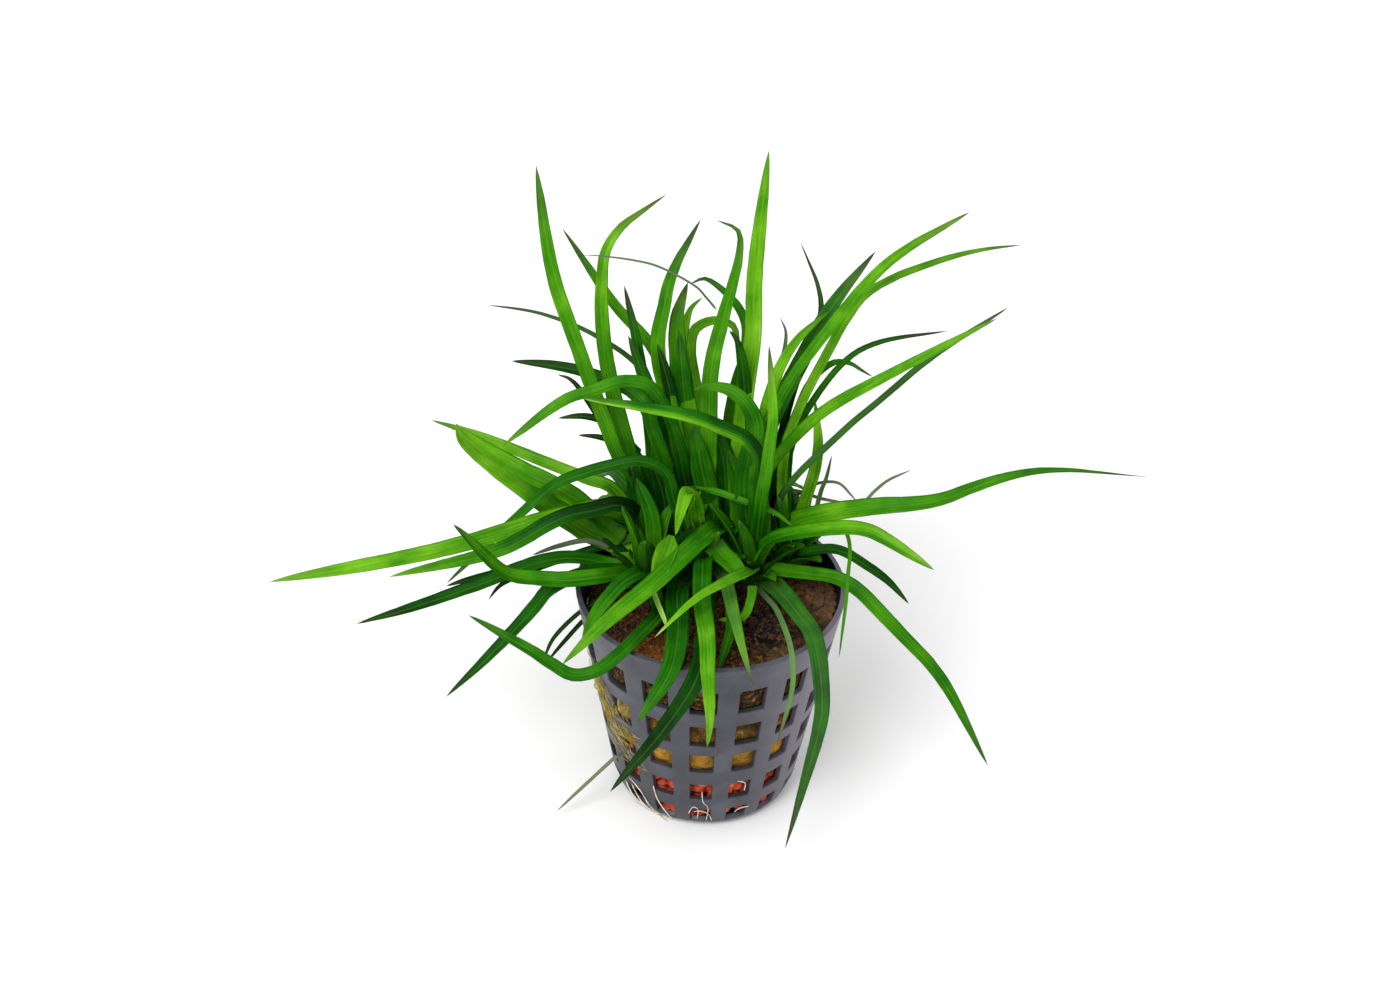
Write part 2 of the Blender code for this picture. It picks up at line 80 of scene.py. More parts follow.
# Net pot: a thin cone of black polypropylene with sixteen columns of holes and a slotted base. It was
# injection-moulded in one piece, so its edges are slightly rounded and its skin is satin.
POT_HEIGHT = 49.3 * MM
POT_TOP_RADIUS = 27.6 * MM
POT_BASE_RADIUS = 18.6 * MM
POT_BASE_ROUND = 4 * MM
ROUND_HEIGHTS = (0.3 * MM, 0.9 * MM)
POT_WALL = 1.2 * MM
POT_COLUMNS = 16
POT_TURN = math.radians(-1.5)
COLUMN_STEPS = 7
HOLE_STEPS = 5
HOLE_SHARE = 0.56
HOLE_ROWS = [(1.6, 5.6), (8.9, 13.6), (17.6, 23.0), (26.0, 32.0), (36.0, 42.6)]
SLOT_IN = 5 * MM
SLOT_OUT = 10 * MM
SLOT_COLUMNS = 4
EDGE_ROUND = 0.22 * MM
EDGE_TURN = math.radians(50)
MERGE = 0.005 * MM
# Painted light on the pot's right side, and painted shade low on its left
LIT_RIGHT_FROM = 8 * MM
LIT_RIGHT_TO = 22 * MM
SHADE_LEFT_AT = Vector((-17, -6, 4)) * MM
SHADE_LEFT_CORE = 6 * MM
SHADE_LEFT_FADE = 20 * MM


def linear(hex_colour):
    """An sRGB hex colour as linear red, green, blue and alpha."""
    parts = [int(hex_colour[i:i + 2], 16) / 255 for i in (1, 3, 5)]
    return [p / 12.92 if p <= 0.04045 else ((p + 0.055) / 1.055) ** 2.4 for p in parts] + [1]


def node(tree, kind, inputs=None, stops=(), **settings):
    """Adds a node with its settings. Each input is a value, or the output that is linked to it."""
    made = tree.nodes.new("ShaderNode" + kind)
    for key, value in settings.items():
        setattr(made, key, value)
    for key, value in (inputs or {}).items():
        if isinstance(value, bpy.types.NodeSocket):
            tree.links.new(value, made.inputs[key])
        else:
            made.inputs[key].default_value = value
    while stops and len(made.color_ramp.elements) < len(stops):
        made.color_ramp.elements.new(0.5)
    for element, (place, colour) in zip(made.color_ramp.elements if stops else (), stops):
        element.position = place
        element.color = linear(colour)
    return made


def new_material(name):
    """An empty node material and its tree."""
    made = bpy.data.materials.new(name)
    made.use_nodes = True
    made.node_tree.nodes.clear()
    return made, made.node_tree


def add_piece(name, bm, material, replaced=()):
    """Makes the bmesh a smooth piece that rides on the part, in place of the solids named."""
    mesh = bpy.data.meshes.new(name)
    bm.to_mesh(mesh)
    bm.free()
    mesh.materials.append(material)
    mesh.polygons.foreach_set("use_smooth", [True] * len(mesh.polygons))
    piece = bpy.data.objects.new(name, mesh)
    bpy.context.scene.collection.objects.link(piece)
    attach(piece, "root")
    if replaced:
        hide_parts(*replaced)
    return piece


def patch(tree, place, middle, core, fade):
    """How much of a patch lies here: 1 as near its middle as the core, and 0 from the fade on."""
    far = node(tree, "VectorMath", {0: place, 1: middle}, operation="DISTANCE").outputs["Value"]
    return node(tree, "MapRange", {"Value": far, "From Min": fade, "From Max": core}).outputs[0]


def pot_radius(height):
    """Outer radius of the pot at a height: a cone with a rounded lower edge."""
    taper = (POT_TOP_RADIUS - POT_BASE_RADIUS) / POT_HEIGHT
    cone = POT_BASE_RADIUS + taper * max(height, POT_BASE_ROUND)
    drop = max(0, POT_BASE_ROUND - height)
    return cone - POT_BASE_ROUND + math.sqrt(POT_BASE_ROUND**2 - drop**2)


def turned(bm, profile, steps):
    """Turns a profile, given as radius and height, all the way round the upright axis."""
    verts = [bm.verts.new((radius, 0, height)) for radius, height in profile]
    edges = [bm.edges.new(pair) for pair in zip(verts, verts[1:])]
    bmesh.ops.spin(bm, geom=verts + edges, axis=(0, 0, 1), cent=(0, 0, 0), angle=math.tau,
                   steps=steps, use_merge=True)
    bmesh.ops.remove_doubles(bm, verts=bm.verts, dist=MERGE)
    bmesh.ops.recalc_face_normals(bm, faces=bm.faces)


def is_open(place):
    """Whether the pot's skin is left out here, for a hole in its wall or a slot in its base."""
    column = math.atan2(place.y, place.x) % math.tau / math.tau * POT_COLUMNS
    if place.z < MERGE:
        in_ring = SLOT_IN < place.xy.length < SLOT_OUT
        return in_ring and column % SLOT_COLUMNS < SLOT_COLUMNS - 1
    in_row = any(low * MM < place.z < high * MM for low, high in HOLE_ROWS)
    return in_row and column % 1 < HOLE_STEPS / COLUMN_STEPS


def hole_angle(step):
    """The angle of a step round the pot, with the holes' share of each column centred on the front."""
    column, part = divmod(step, COLUMN_STEPS)
    bar = max(0, part - HOLE_STEPS) * (1 - HOLE_SHARE) / (COLUMN_STEPS - HOLE_STEPS)
    share = min(part, HOLE_STEPS) * HOLE_SHARE / HOLE_STEPS + bar
    return (column + share - HOLE_SHARE / 2) / POT_COLUMNS * math.tau - math.pi / 2 + POT_TURN


pot_heights = sorted([edge * MM for row in HOLE_ROWS for edge in row] + [POT_BASE_ROUND, POT_HEIGHT])
pot_profile = [(0, 0), (SLOT_IN, 0), (SLOT_OUT, 0), (pot_radius(0), 0)]
pot_profile += [(pot_radius(height), height) for height in (*ROUND_HEIGHTS, *pot_heights)]
bm = bmesh.new()
turned(bm, pot_profile, POT_COLUMNS * COLUMN_STEPS)
bmesh.ops.delete(bm, geom=[f for f in bm.faces if is_open(f.calc_center_median())], context="FACES")

# The even steps of the turned skin become the holes and the narrower bars between them
for v in bm.verts:
    step = round(math.atan2(v.co.y, v.co.x) % math.tau / math.tau * POT_COLUMNS * COLUMN_STEPS)
    angle = hole_angle(step)
    radius = v.co.xy.length
    v.co.xy = radius * math.cos(angle), radius * math.sin(angle)

# The skin has to face outwards, so that the wall grows inwards from it
lowest = min(bm.faces, key=lambda face: face.calc_center_median().z)
if lowest.normal.z > 0:
    bmesh.ops.reverse_faces(bm, faces=bm.faces)

# Black polypropylene, moulded: satin, with a fine grain and a cloudy bloom. It is painted paler on the right,
# where the light falls, painted darker low on the left, where it lies in shade, and painted near black on the
# inside, where it lies in shade. The grain is drawn at 0.5 mm, coarser than real.
plastic, tree = new_material("black_polypropylene_moulded")
place = node(tree, "TexCoord").outputs["Object"]
outward = node(tree, "VectorMath", {0: place, 1: (1, 1, 0)}, operation="MULTIPLY").outputs[0]
outward = node(tree, "VectorMath", {0: outward}, operation="NORMALIZE").outputs[0]
facing = node(tree, "NewGeometry").outputs["Normal"]
outside = node(tree, "VectorMath", {0: outward, 1: facing}, operation="DOT_PRODUCT").outputs["Value"]
# Painted shade: the inside of the wall is near black, for the shade inside the pot
inside = node(tree, "MapRange", {"Value": outside, "From Min": -0.35, "From Max": -0.6}).outputs[0]
cloud = node(tree, "TexNoise", {"Vector": place, "Scale": 1 / (7.14 * MM), "Detail": 5}).outputs[0]
skin = node(tree, "ValToRGB", {"Fac": cloud},
            stops=[(0.3, "#2a2b33"), (0.55, "#3a3b45"), (0.75, "#4d4e5a")]).outputs[0]
# Painted light: the skin is paler towards the right, where the light falls on it
right = node(tree, "SeparateXYZ", {0: place}).outputs["X"]
painted_light_right = node(tree, "MapRange", {"Value": right, "From Min": LIT_RIGHT_FROM, "From Max": LIT_RIGHT_TO,
                                "To Max": 0.7}).outputs[0]
skin = node(tree, "Mix", {0: painted_light_right, 6: skin, 7: linear("#6c6472")}, data_type="RGBA").outputs[2]
# Painted shade: the skin is darker low on the left, where it lies in shade
painted_shade_left = patch(tree, place, SHADE_LEFT_AT, SHADE_LEFT_CORE, SHADE_LEFT_FADE)
skin = node(tree, "Mix", {0: painted_shade_left, 6: skin, 7: linear("#1d1e24")}, data_type="RGBA").outputs[2]
colour = node(tree, "Mix", {0: inside, 6: skin, 7: linear("#0b0b12")}, data_type="RGBA").outputs[2]
grain = node(tree, "TexNoise", {"Vector": place, "Scale": 1 / (0.5 * MM), "Detail": 2}).outputs[0]
rough = node(tree, "MapRange", {"Value": grain, "To Min": 0.34, "To Max": 0.5}).outputs[0]
bump = node(tree, "Bump", {"Height": grain, "Strength": 0.25, "Distance": 0.05 * MM}).outputs[0]
shader = node(tree, "BsdfPrincipled", {"Base Color": colour, "Roughness": rough, "Normal": bump, "IOR": 1.49})
node(tree, "OutputMaterial", {"Surface": shader.outputs[0]})

pot = add_piece("net_pot_moulded", bm, plastic, ["net_pot"])
wall = pot.modifiers.new("wall", "SOLIDIFY")
wall.thickness = POT_WALL
wall.offset = -1
wall.use_even_offset = True
rounding = pot.modifiers.new("rounding", "BEVEL")
rounding.width = EDGE_ROUND
rounding.segments = 2
rounding.limit_method = "ANGLE"
rounding.angle_limit = EDGE_TURN
rounding.harden_normals = True


# Fired clay: rough red grains a few millimetres across, poured loose into the bottom of the pot. They lie
# against its wall and show through the two lowest rows of holes and the slots.
CLAY_LOW = 1.5 * MM
CLAY_HIGH = 13.4 * MM
CLAY_RINGS = 5
CLAY_GRAIN = 2.9 * MM
GRAIN_BEVEL = 0.32
GRAIN_BATCH = 40
POT_CLEAR = 1.6 * MM

# How far apart the grains, their rings and their layers lie, as shares of a grain
GRAINS_APART = 0.88
RINGS_APART = 0.85
LAYERS_APART = 0.82

rng = random.Random(11)


def add_grain(bm, middle, size):
    """One grain: a bevelled block, turned at random and knocked out of true."""
    made = bmesh.ops.create_cube(bm, size=1)["verts"]
    edges = list({edge for v in made for edge in v.link_edges})
    bevelled = bmesh.ops.bevel(bm, geom=edges, affect="EDGES", offset=GRAIN_BEVEL, segments=1, profile=0.5,
                               material=-1)
    turn = Matrix.Rotation(rng.uniform(0, math.tau), 3, Vector([rng.gauss(0, 1) for _ in range(3)]))
    stretch = [size * rng.uniform(0.75, 1.15) for _ in range(3)]
    for v in bevelled["verts"]:
        knock = [rng.uniform(-0.07, 0.07) for _ in range(3)]
        v.co = middle + turn @ Vector([(a + b) * s for a, b, s in zip(v.co, knock, stretch)])


def grains(spots):
    """Grains in one bmesh, each of a middle and a size. Making them batch by batch is quicker."""
    whole = bmesh.new()
    for first in range(0, len(spots), GRAIN_BATCH):
        batch = bmesh.new()
        for middle, size in spots[first:first + GRAIN_BATCH]:
            add_grain(batch, middle, size)
        mesh = bpy.data.meshes.new("batch")
        batch.to_mesh(mesh)
        batch.free()
        whole.from_mesh(mesh)
        bpy.data.meshes.remove(mesh)
    return whole


clay_spots = []
height = CLAY_LOW + CLAY_GRAIN / 2
while height < CLAY_HIGH:
    for ring in range(CLAY_RINGS):
        reach = pot_radius(height) - POT_CLEAR - CLAY_GRAIN * (0.45 + RINGS_APART * ring)
        number = int(math.tau * reach / (CLAY_GRAIN * GRAINS_APART)) if reach > CLAY_GRAIN else 0
        for index in range(number):
            angle = (index + rng.uniform(-0.3, 0.3)) / number * math.tau
            lift = height + rng.uniform(-0.2, 0.2) * CLAY_GRAIN
            middle = Vector((reach * math.cos(angle), reach * math.sin(angle), lift))
            clay_spots.append((middle, CLAY_GRAIN * rng.uniform(0.85, 1.15)))
    height += CLAY_GRAIN * LAYERS_APART

# Fired clay, crushed and tumbled: brick red to salmon, dull and pitted, with painted shade in the pits.
# The pits are drawn at 0.6 mm, coarser than real.
clay, tree = new_material("fired_clay_crushed")
place = node(tree, "TexCoord").outputs["Object"]
lump = node(tree, "TexNoise", {"Vector": place, "Scale": 1 / (3.03 * MM), "Detail": 1}).outputs[0]
body = node(tree, "ValToRGB", {"Fac": lump}, stops=[(0.28, "#6a1f0c"), (0.45, "#c4401a"), (0.6, "#d9552a"),
                                                    (0.75, "#cf8a68")]).outputs[0]
pits = node(tree, "TexNoise", {"Vector": place, "Scale": 1 / (0.588 * MM), "Detail": 4}).outputs[0]
# Painted shade: the colour goes near black where the pits lie low
shade_in_pits = node(tree, "MapRange", {"Value": pits, "From Min": 0.3, "From Max": 0.46}).outputs[0]
colour = node(tree, "Mix", {0: shade_in_pits, 6: linear("#3a120a"), 7: body}, data_type="RGBA").outputs[2]
bump = node(tree, "Bump", {"Height": pits, "Strength": 0.8, "Distance": 0.3 * MM}).outputs[0]
shader = node(tree, "BsdfPrincipled", {"Base Color": colour, "Roughness": 0.85, "Normal": bump})
node(tree, "OutputMaterial", {"Surface": shader.outputs[0]})
add_piece("clay_grains", grains(clay_spots), clay, ["clay_gravel"])


# Wool plug: matted mineral wool that the plant was raised in, pressed down into the pot. It bulges a little
# into the holes, and is stained from mustard below to dark brown above by peat, roots and algae.
WOOL_LOW = 13.8 * MM
WOOL_HIGH = 43.8 * MM
WOOL_SWELL = 0.8 * MM
WOOL_ROUND = 0.35 * MM
WOOL_STEP = 0.55 * MM
WOOL_TURNS = 240
BULGE = 0.6 * MM
BULGE_ROUND = 0.6
SIDE_LUMPS = 0.25 * MM
TOP_DIPS = 0.3 * MM
TOP_RELIEF = 1.6
SPILL = 3.2 * MM
SPILL_AT = Vector((-22.5, -12, 28)) * MM
SPILL_WIDE = 12 * MM
PALE_CORE = 5 * MM
PALE_FADE = 11 * MM
STAIN_FROM = 12 * MM
STAIN_TO = 44 * MM
STAIN_DRIFT = 5 * MM
SOIL_FROM = 42 * MM
SOIL_TO = 43.2 * MM
SOIL_RAGGED = 9 * MM

# Patches of soil on top, three of them painted shade: how far right and back each lies, its core and its fade
# in mm, and its colour
SOIL_AND_SHADE_PATCHES = [
    (21, 3, 8, 14, "#5e4526"),
    (16, -16, 4, 8, "#54401a"),
    (2, -21, 3, 7, "#5c3a14"),
    (-13, -18, 4, 8, "#9a5c1c"),
    # Painted shade under the leaves near the crowns
    (11, -6, 5, 9, "#120f10"),
    # Painted shade in the gap to the wall at the front right
    (20, -10, 2, 6, "#1d1612"),
    # Painted shade by the rim at the back left
    (-20, 12, 6, 11, "#2c1b16"),
]


def hole_bulge(angle, height):
    """How far the wool swells out here, from 0 behind a bar to 1 in the middle of a hole."""
    column = ((angle + math.pi / 2 - POT_TURN) / math.tau * POT_COLUMNS + 0.5) % 1 - 0.5
    beside = max(0, 1 - abs(column) / (HOLE_SHARE / 2)) ** BULGE_ROUND
    over = 0
    for low, high in HOLE_ROWS:
        over = max(over, 1 - abs(height / MM - (low + high) / 2) / ((high - low) / 2))
    return beside * over**BULGE_ROUND


def wool_lumps(place):
    """Lumps and tufts of the wool's surface, in metres."""
    coarse = noise.noise(place / (5 * MM))
    fine = noise.noise(place / (1.5 * MM) + Vector((7, 3, 1)))
    tuft = noise.noise(place / (0.6 * MM) + Vector((2, 9, 4)))
    return (0.42 * coarse + 0.3 * fine + 0.16 * tuft) * MM


def top_lumps(place):
    """Lumps of the wool's upper side, which lie higher and dip less than those of its sides."""
    return max(wool_lumps(place), -TOP_DIPS) * TOP_RELIEF


wool_radius = pot_radius(WOOL_HIGH) - POT_CLEAR
profile = [(0, WOOL_LOW)]
for height in np.arange(WOOL_LOW, WOOL_HIGH - WOOL_ROUND, WOOL_STEP):
    profile.append((pot_radius(height) - POT_CLEAR, height))
for turn in np.linspace(0, math.pi / 2, 5):
    profile.append((wool_radius - WOOL_ROUND * (1 - math.cos(turn)),
                    WOOL_HIGH - WOOL_ROUND * (1 - math.sin(turn))))
for reach in np.arange(wool_radius - WOOL_ROUND - WOOL_STEP, 0, -WOOL_STEP):
    profile.append((reach, WOOL_HIGH + WOOL_SWELL * (1 - (reach / wool_radius) ** 2)))
profile.append((0, WOOL_HIGH + WOOL_SWELL))
bm = bmesh.new()
turned(bm, profile, WOOL_TURNS)
for v in bm.verts:
    reach, height = v.co.xy.length, v.co.z
    if height < WOOL_HIGH - WOOL_ROUND and reach > WOOL_STEP:
        angle = math.atan2(v.co.y, v.co.x)
        spill = SPILL * max(0, 1 - (v.co - SPILL_AT).length / SPILL_WIDE)
        swell = (BULGE + spill) * hole_bulge(angle, height)
        v.co.xy *= (reach + swell + min(wool_lumps(v.co), SIDE_LUMPS)) / reach
    else:
        v.co.z += top_lumps(v.co)


def soil_colour(tree, place):
    """The colour on top, where peat, clay and algae lie in patches with ragged edges and dark wet spots,
    and painted shade lies in patches under the leaves and by the rim.
    """
    drift = node(tree, "TexNoise", {"Vector": place, "Scale": 1 / (3.33 * MM), "Detail": 2}).outputs["Color"]
    shift = node(tree, "VectorMath", {0: drift, 1: (0.5, 0.5, 0.5)}, operation="SUBTRACT").outputs[0]
    shift = node(tree, "VectorMath", {0: shift, "Scale": SOIL_RAGGED}, operation="SCALE").outputs[0]
    place = node(tree, "VectorMath", {0: place, 1: shift}, operation="ADD").outputs[0]
    soil = linear("#4a2814")
    for right, back, core, fade, hex_colour in SOIL_AND_SHADE_PATCHES:
        middle = (right * MM, back * MM, WOOL_HIGH + WOOL_SWELL)
        share = patch(tree, place, middle, core * MM, fade * MM)
        soil = node(tree, "Mix", {0: share, 6: soil, 7: linear(hex_colour)}, data_type="RGBA").outputs[2]
    wet = node(tree, "TexNoise", {"Vector": place, "Scale": 1 / (3.03 * MM), "Detail": 2}).outputs[0]
    wet = node(tree, "MapRange", {"Value": wet, "From Min": 0.48, "From Max": 0.62, "To Max": 0.8}).outputs[0]
    return node(tree, "Mix", {0: wet, 6: soil, 7: linear("#120d0b")}, data_type="RGBA").outputs[2]


# Mineral wool, stained: spun stone fibre, dull and tangled, and khaki where it has come out on the left. It
# is lighter and darker in clumps at random, with painted highlight on its raised fibres and painted shade
# between them. The fibres are drawn 0.7 mm apart, far coarser than real, so that they show.
wool, tree = new_material("mineral_wool_stained")
place = node(tree, "TexCoord").outputs["Object"]
height = node(tree, "SeparateXYZ", {0: place}).outputs["Z"]
drift = node(tree, "TexNoise", {"Vector": place, "Scale": 1 / (3.85 * MM), "Detail": 3}).outputs[0]
drifted = node(tree, "MapRange", {"Value": drift, "To Min": -STAIN_DRIFT, "To Max": STAIN_DRIFT}).outputs[0]
stained = node(tree, "Math", {0: height, 1: drifted}, operation="ADD").outputs[0]
stained = node(tree, "MapRange", {"Value": stained, "From Min": STAIN_FROM, "From Max": STAIN_TO}).outputs[0]
side = node(tree, "ValToRGB", {"Fac": stained},
            stops=[(0.0, "#c8862c"), (0.25, "#b3842c"), (0.44, "#6c4f18"), (0.62, "#4a3410"),
                   (0.8, "#33230e"), (1.0, "#241710")]).outputs[0]
specks = node(tree, "TexNoise", {"Vector": place, "Scale": 1 / (1.11 * MM), "Detail": 3}).outputs[0]
speck = node(tree, "MapRange", {"Value": specks, "From Min": 0.5, "From Max": 0.68}).outputs[0]
on_top = node(tree, "MapRange", {"Value": height, "From Min": SOIL_FROM, "From Max": SOIL_TO}).outputs[0]
top = soil_colour(tree, place)
side = node(tree, "Mix", {0: on_top, 6: side, 7: top}, data_type="RGBA").outputs[2]
speck = node(tree, "Math", {0: speck, 1: 0.45}, operation="MULTIPLY").outputs[0]
spotted = node(tree, "Mix", {0: speck, 6: side, 7: linear("#c08a48")}, data_type="RGBA").outputs[2]
pale = patch(tree, place, SPILL_AT, PALE_CORE, PALE_FADE)
khaki = node(tree, "Mix", {0: pale, 6: spotted, 7: linear("#b3a258")}, data_type="RGBA").outputs[2]
fibre = node(tree, "TexNoise", {"Vector": place, "Scale": 1 / (0.667 * MM), "Detail": 3,
                                "Distortion": 3}).outputs[0]
clump = node(tree, "TexNoise", {"Vector": place, "Scale": 1 / (2.08 * MM), "Detail": 2}).outputs[0]
clump = node(tree, "Math", {0: fibre, 1: clump}, operation="ADD").outputs[0]
# Painted highlight on the raised fibres and painted shade between them, with clumps that differ at random
shade = node(tree, "MapRange", {"Value": clump, "From Min": 0.7, "From Max": 1.3, "To Min": 0.3,
                                "To Max": 1.35}).outputs[0]
colour = node(tree, "VectorMath", {0: khaki, "Scale": shade}, operation="SCALE").outputs[0]
bump = node(tree, "Bump", {"Height": fibre, "Strength": 0.9, "Distance": 0.25 * MM}).outputs[0]
shader = node(tree, "BsdfPrincipled", {"Base Color": colour, "Roughness": 0.95, "Normal": bump,
                                       "Specular IOR Level": 0.2})
node(tree, "OutputMaterial", {"Surface": shader.outputs[0]})
add_piece("wool_plug_matted", bm, wool, ["wool_plug"])


# Crumbs: bits of peat and fired clay, crumbled off when the plant was potted. They lie loose on the wool, and
# take their colour from the patch of soil that they lie in, painted shade included.
CRUMBS = 1100
CRUMBS_IN = 1.2 * MM
SOIL_SHARE = 0.74
crumb_spots = []
for _ in range(CRUMBS):
    reach = (wool_radius - CRUMBS_IN) * math.sqrt(rng.random())
    angle = rng.uniform(0, math.tau)
    spot = Vector((reach * math.cos(angle), reach * math.sin(angle), WOOL_HIGH))
    lift = WOOL_SWELL * (1 - (reach / wool_radius) ** 2) + top_lumps(spot)
    crumb_spots.append((spot + Vector((0, 0, lift)), rng.uniform(0.5, 1.25) * MM))

# Peat and fired clay, crumbled: near black to brick red from crumb to crumb, dull and pitted. The pits are
# drawn at 0.4 mm, coarser than real.
crumb, tree = new_material("peat_and_clay_crumbs")
place = node(tree, "TexCoord").outputs["Object"]
kind = node(tree, "TexVoronoi", {"Vector": place, "Scale": 1 / (1.43 * MM)}).outputs["Color"]
kind = node(tree, "SeparateColor", {0: kind}).outputs[0]
body = node(tree, "ValToRGB", {"Fac": kind}, stops=[(0.1, "#1e120c"), (0.45, "#4a2614"), (0.8, "#83411d"),
                                                    (0.97, "#a05a30")]).outputs[0]
# This carries the painted shade of the soil's patches under the leaves and by the rim
ground = soil_colour(tree, place)
colour = node(tree, "Mix", {0: SOIL_SHARE, 6: body, 7: ground}, data_type="RGBA").outputs[2]
pits = node(tree, "TexNoise", {"Vector": place, "Scale": 1 / (0.4 * MM), "Detail": 2}).outputs[0]
bump = node(tree, "Bump", {"Height": pits, "Strength": 0.6, "Distance": 0.1 * MM}).outputs[0]
shader = node(tree, "BsdfPrincipled", {"Base Color": colour, "Roughness": 0.9, "Normal": bump})
node(tree, "OutputMaterial", {"Surface": shader.outputs[0]})
add_piece("crumbs_on_wool", grains(crumb_spots), crumb)


# Leaves: soft waxy straps, each folded along its midrib, with fine veins side by side. They grow from seven
# crowns. Each grows broad and pale from its crown and thins to a point, which dries first.
STATIONS = 46
BLADE_ROW = (-1, -0.72, -0.42, -0.14, 0, 0.14, 0.42, 0.72, 1)
BLADE_THICK = 0.5 * MM
BLADE_EDGE = 0.16 * MM
GROOVE = 0.05 * MM
GROOVE_WIDE = 0.12
FOLD_ROUND = 0.1
FOOT_PART = 0.3
FLUTTER = 0.05
FLUTTER_LONG = 4.5 * MM
NICK = 0.05
NICK_LONG = 1.7 * MM
VEINS_APART_MM = 0.417
CROWN_FOOT = 44.5 * MM
CROWN_HEART = 2.5 * MM


def between(first, last, share):
    """The value at that share of the way from the first to the last."""
    return first + (last - first) * share


def unit(vectors):
    """The same directions, each one metre long."""
    return vectors / np.linalg.norm(vectors, axis=1)[:, None]


def smooth_path(points, count):
    """Evenly spaced places on a smooth curve through the points."""
    points = np.array(points, float)
    ends = [2 * points[0] - points[1], *points, 2 * points[-1] - points[-2]]
    fine = []
    for a, b, c, d in zip(ends, ends[1:], ends[2:], ends[3:]):
        for t in np.arange(0, 1, 0.05):
            fine.append(0.5 * (2 * b + (c - a) * t + (2 * a - 5 * b + 4 * c - d) * t**2
                               + (3 * b - a - 3 * c + d) * t**3))
    fine = np.array([*fine, points[-1]])
    length = np.concatenate([[0], np.cumsum(np.linalg.norm(np.diff(fine, axis=0), axis=1))])
    wanted = np.linspace(0, length[-1], count)
    return np.stack([np.interp(wanted, length, fine[:, axis]) for axis in range(3)], axis=1)


def add_blade(bm, path, width, tones, facing, fold=0.2, foot=1.1, taper=5, twist=0, dry=0.3, painted_half_light=0,
              point=0.8):
    """Adds a blade: a grid rolled shut, laid along the path, thick at its midrib and closed at both ends.

    Its look attribute holds its tone, in which one half of the fold can be painted lighter and the other
    darker, for the light on it, its dryness, how far along it lies and whether it is the upper side.
    """
    look = bm.verts.layers.float_color.get("look") or bm.verts.layers.float_color.new("look")
    uv = bm.loops.layers.uv.verify()
    count = len(path)
    row = [(s, 1) for s in BLADE_ROW] + [(s, 0) for s in BLADE_ROW[-2::-1]]
    grid = bmesh.ops.create_grid(bm, x_segments=len(row) - 1, y_segments=count - 1, size=1)["verts"]
    t = np.linspace(0, 1, count)
    run = unit(np.gradient(path, axis=0))
    side = unit(np.cross(run, facing))
    normal = np.cross(side, run)
    turn = (np.radians(twist) * t)[:, None]
    side, normal = side * np.cos(turn) + normal * np.sin(turn), normal * np.cos(turn) - side * np.sin(turn)
    ramp = np.clip(t / FOOT_PART, 0, 1)
    share = between(foot, 1, ramp * ramp * (3 - 2 * ramp))
    share = share * np.clip(1 - t**taper, 0, 1) ** point
    start = rng.uniform(0, 9)
    along = np.concatenate([[0], np.cumsum(np.linalg.norm(np.diff(path, axis=0), axis=1))])
    spots = {}
    for v in grid:
        column = round((v.co.x + 1) / 2 * (len(row) - 1))
        station = round((v.co.y + 1) / 2 * (count - 1))
        s, top = row[column]
        half = width / 2 * share[station]
        flutter = FLUTTER * half * s * s * math.sin(along[station] / FLUTTER_LONG + start + 2 * s)
        nick = 1 + NICK * noise.noise((along[station] / NICK_LONG, start, s))
        rest = half * fold * 2 * (math.hypot(s, FOLD_ROUND) - FOLD_ROUND) + flutter
        thick = between(BLADE_EDGE, BLADE_THICK, (1 - abs(s)) ** 1.5)
        thick = min(thick, half) * (abs(s) < 1)
        drop = -GROOVE * math.exp(-((s / GROOVE_WIDE) ** 2)) if top else -thick
        spot = path[station]
        if 0 < station < count - 1:
            spot = spot + side[station] * half * s * nick + normal[station] * (rest + drop)
        # Painted light and shade: one half of the fold is lighter and the other darker, for the light falling
        # on it
        tone = between(*tones, t[station]) + painted_half_light * max(-1, min(1, 3 * s))
        v[look] = (tone, dry, t[station], top)
        spots[v] = (spot, half * s, along[station])
    for face in {face for v in grid for face in v.link_faces}:
        for loop in face.loops:
            loop[uv].uv = (spots[loop.vert][1] / MM, spots[loop.vert][2] / MM)
    for v, (spot, _, _) in spots.items():
        v.co = spot
    bmesh.ops.remove_doubles(bm, verts=grid, dist=MERGE)


# Living leaf, waxy: a thin wet-looking cuticle over green tissue. The eye gets a light midrib, fine veins, a
# paler foot, a duller underside and a brown dry tip, and a dead leaf is grey all over. Blotches lighten and
# darken the green, partly at random and partly as painted highlights, and some leaves have one half of the
# fold painted lighter and the other darker, as painted light and shade. The veins are drawn 0.42 mm apart,
# coarser than real.
leaf, tree = new_material("living_leaf_waxy")
place = node(tree, "TexCoord").outputs["Object"]
look = node(tree, "Attribute", attribute_name="look")
parts = node(tree, "SeparateColor", {0: look.outputs["Color"]}).outputs
map_mm = node(tree, "UVMap").outputs[0]
over = node(tree, "SeparateXYZ", {0: map_mm}).outputs
veins = node(tree, "VectorMath", {0: map_mm, 1: (1, 0.035, 1)}, operation="MULTIPLY").outputs[0]
vein = node(tree, "TexNoise", {"Vector": veins, "Scale": 1 / VEINS_APART_MM, "Detail": 3,
                               "Roughness": 0.6}).outputs[0]
blotch = node(tree, "TexNoise", {"Vector": place, "Scale": 1 / (6.67 * MM), "Detail": 4}).outputs[0]
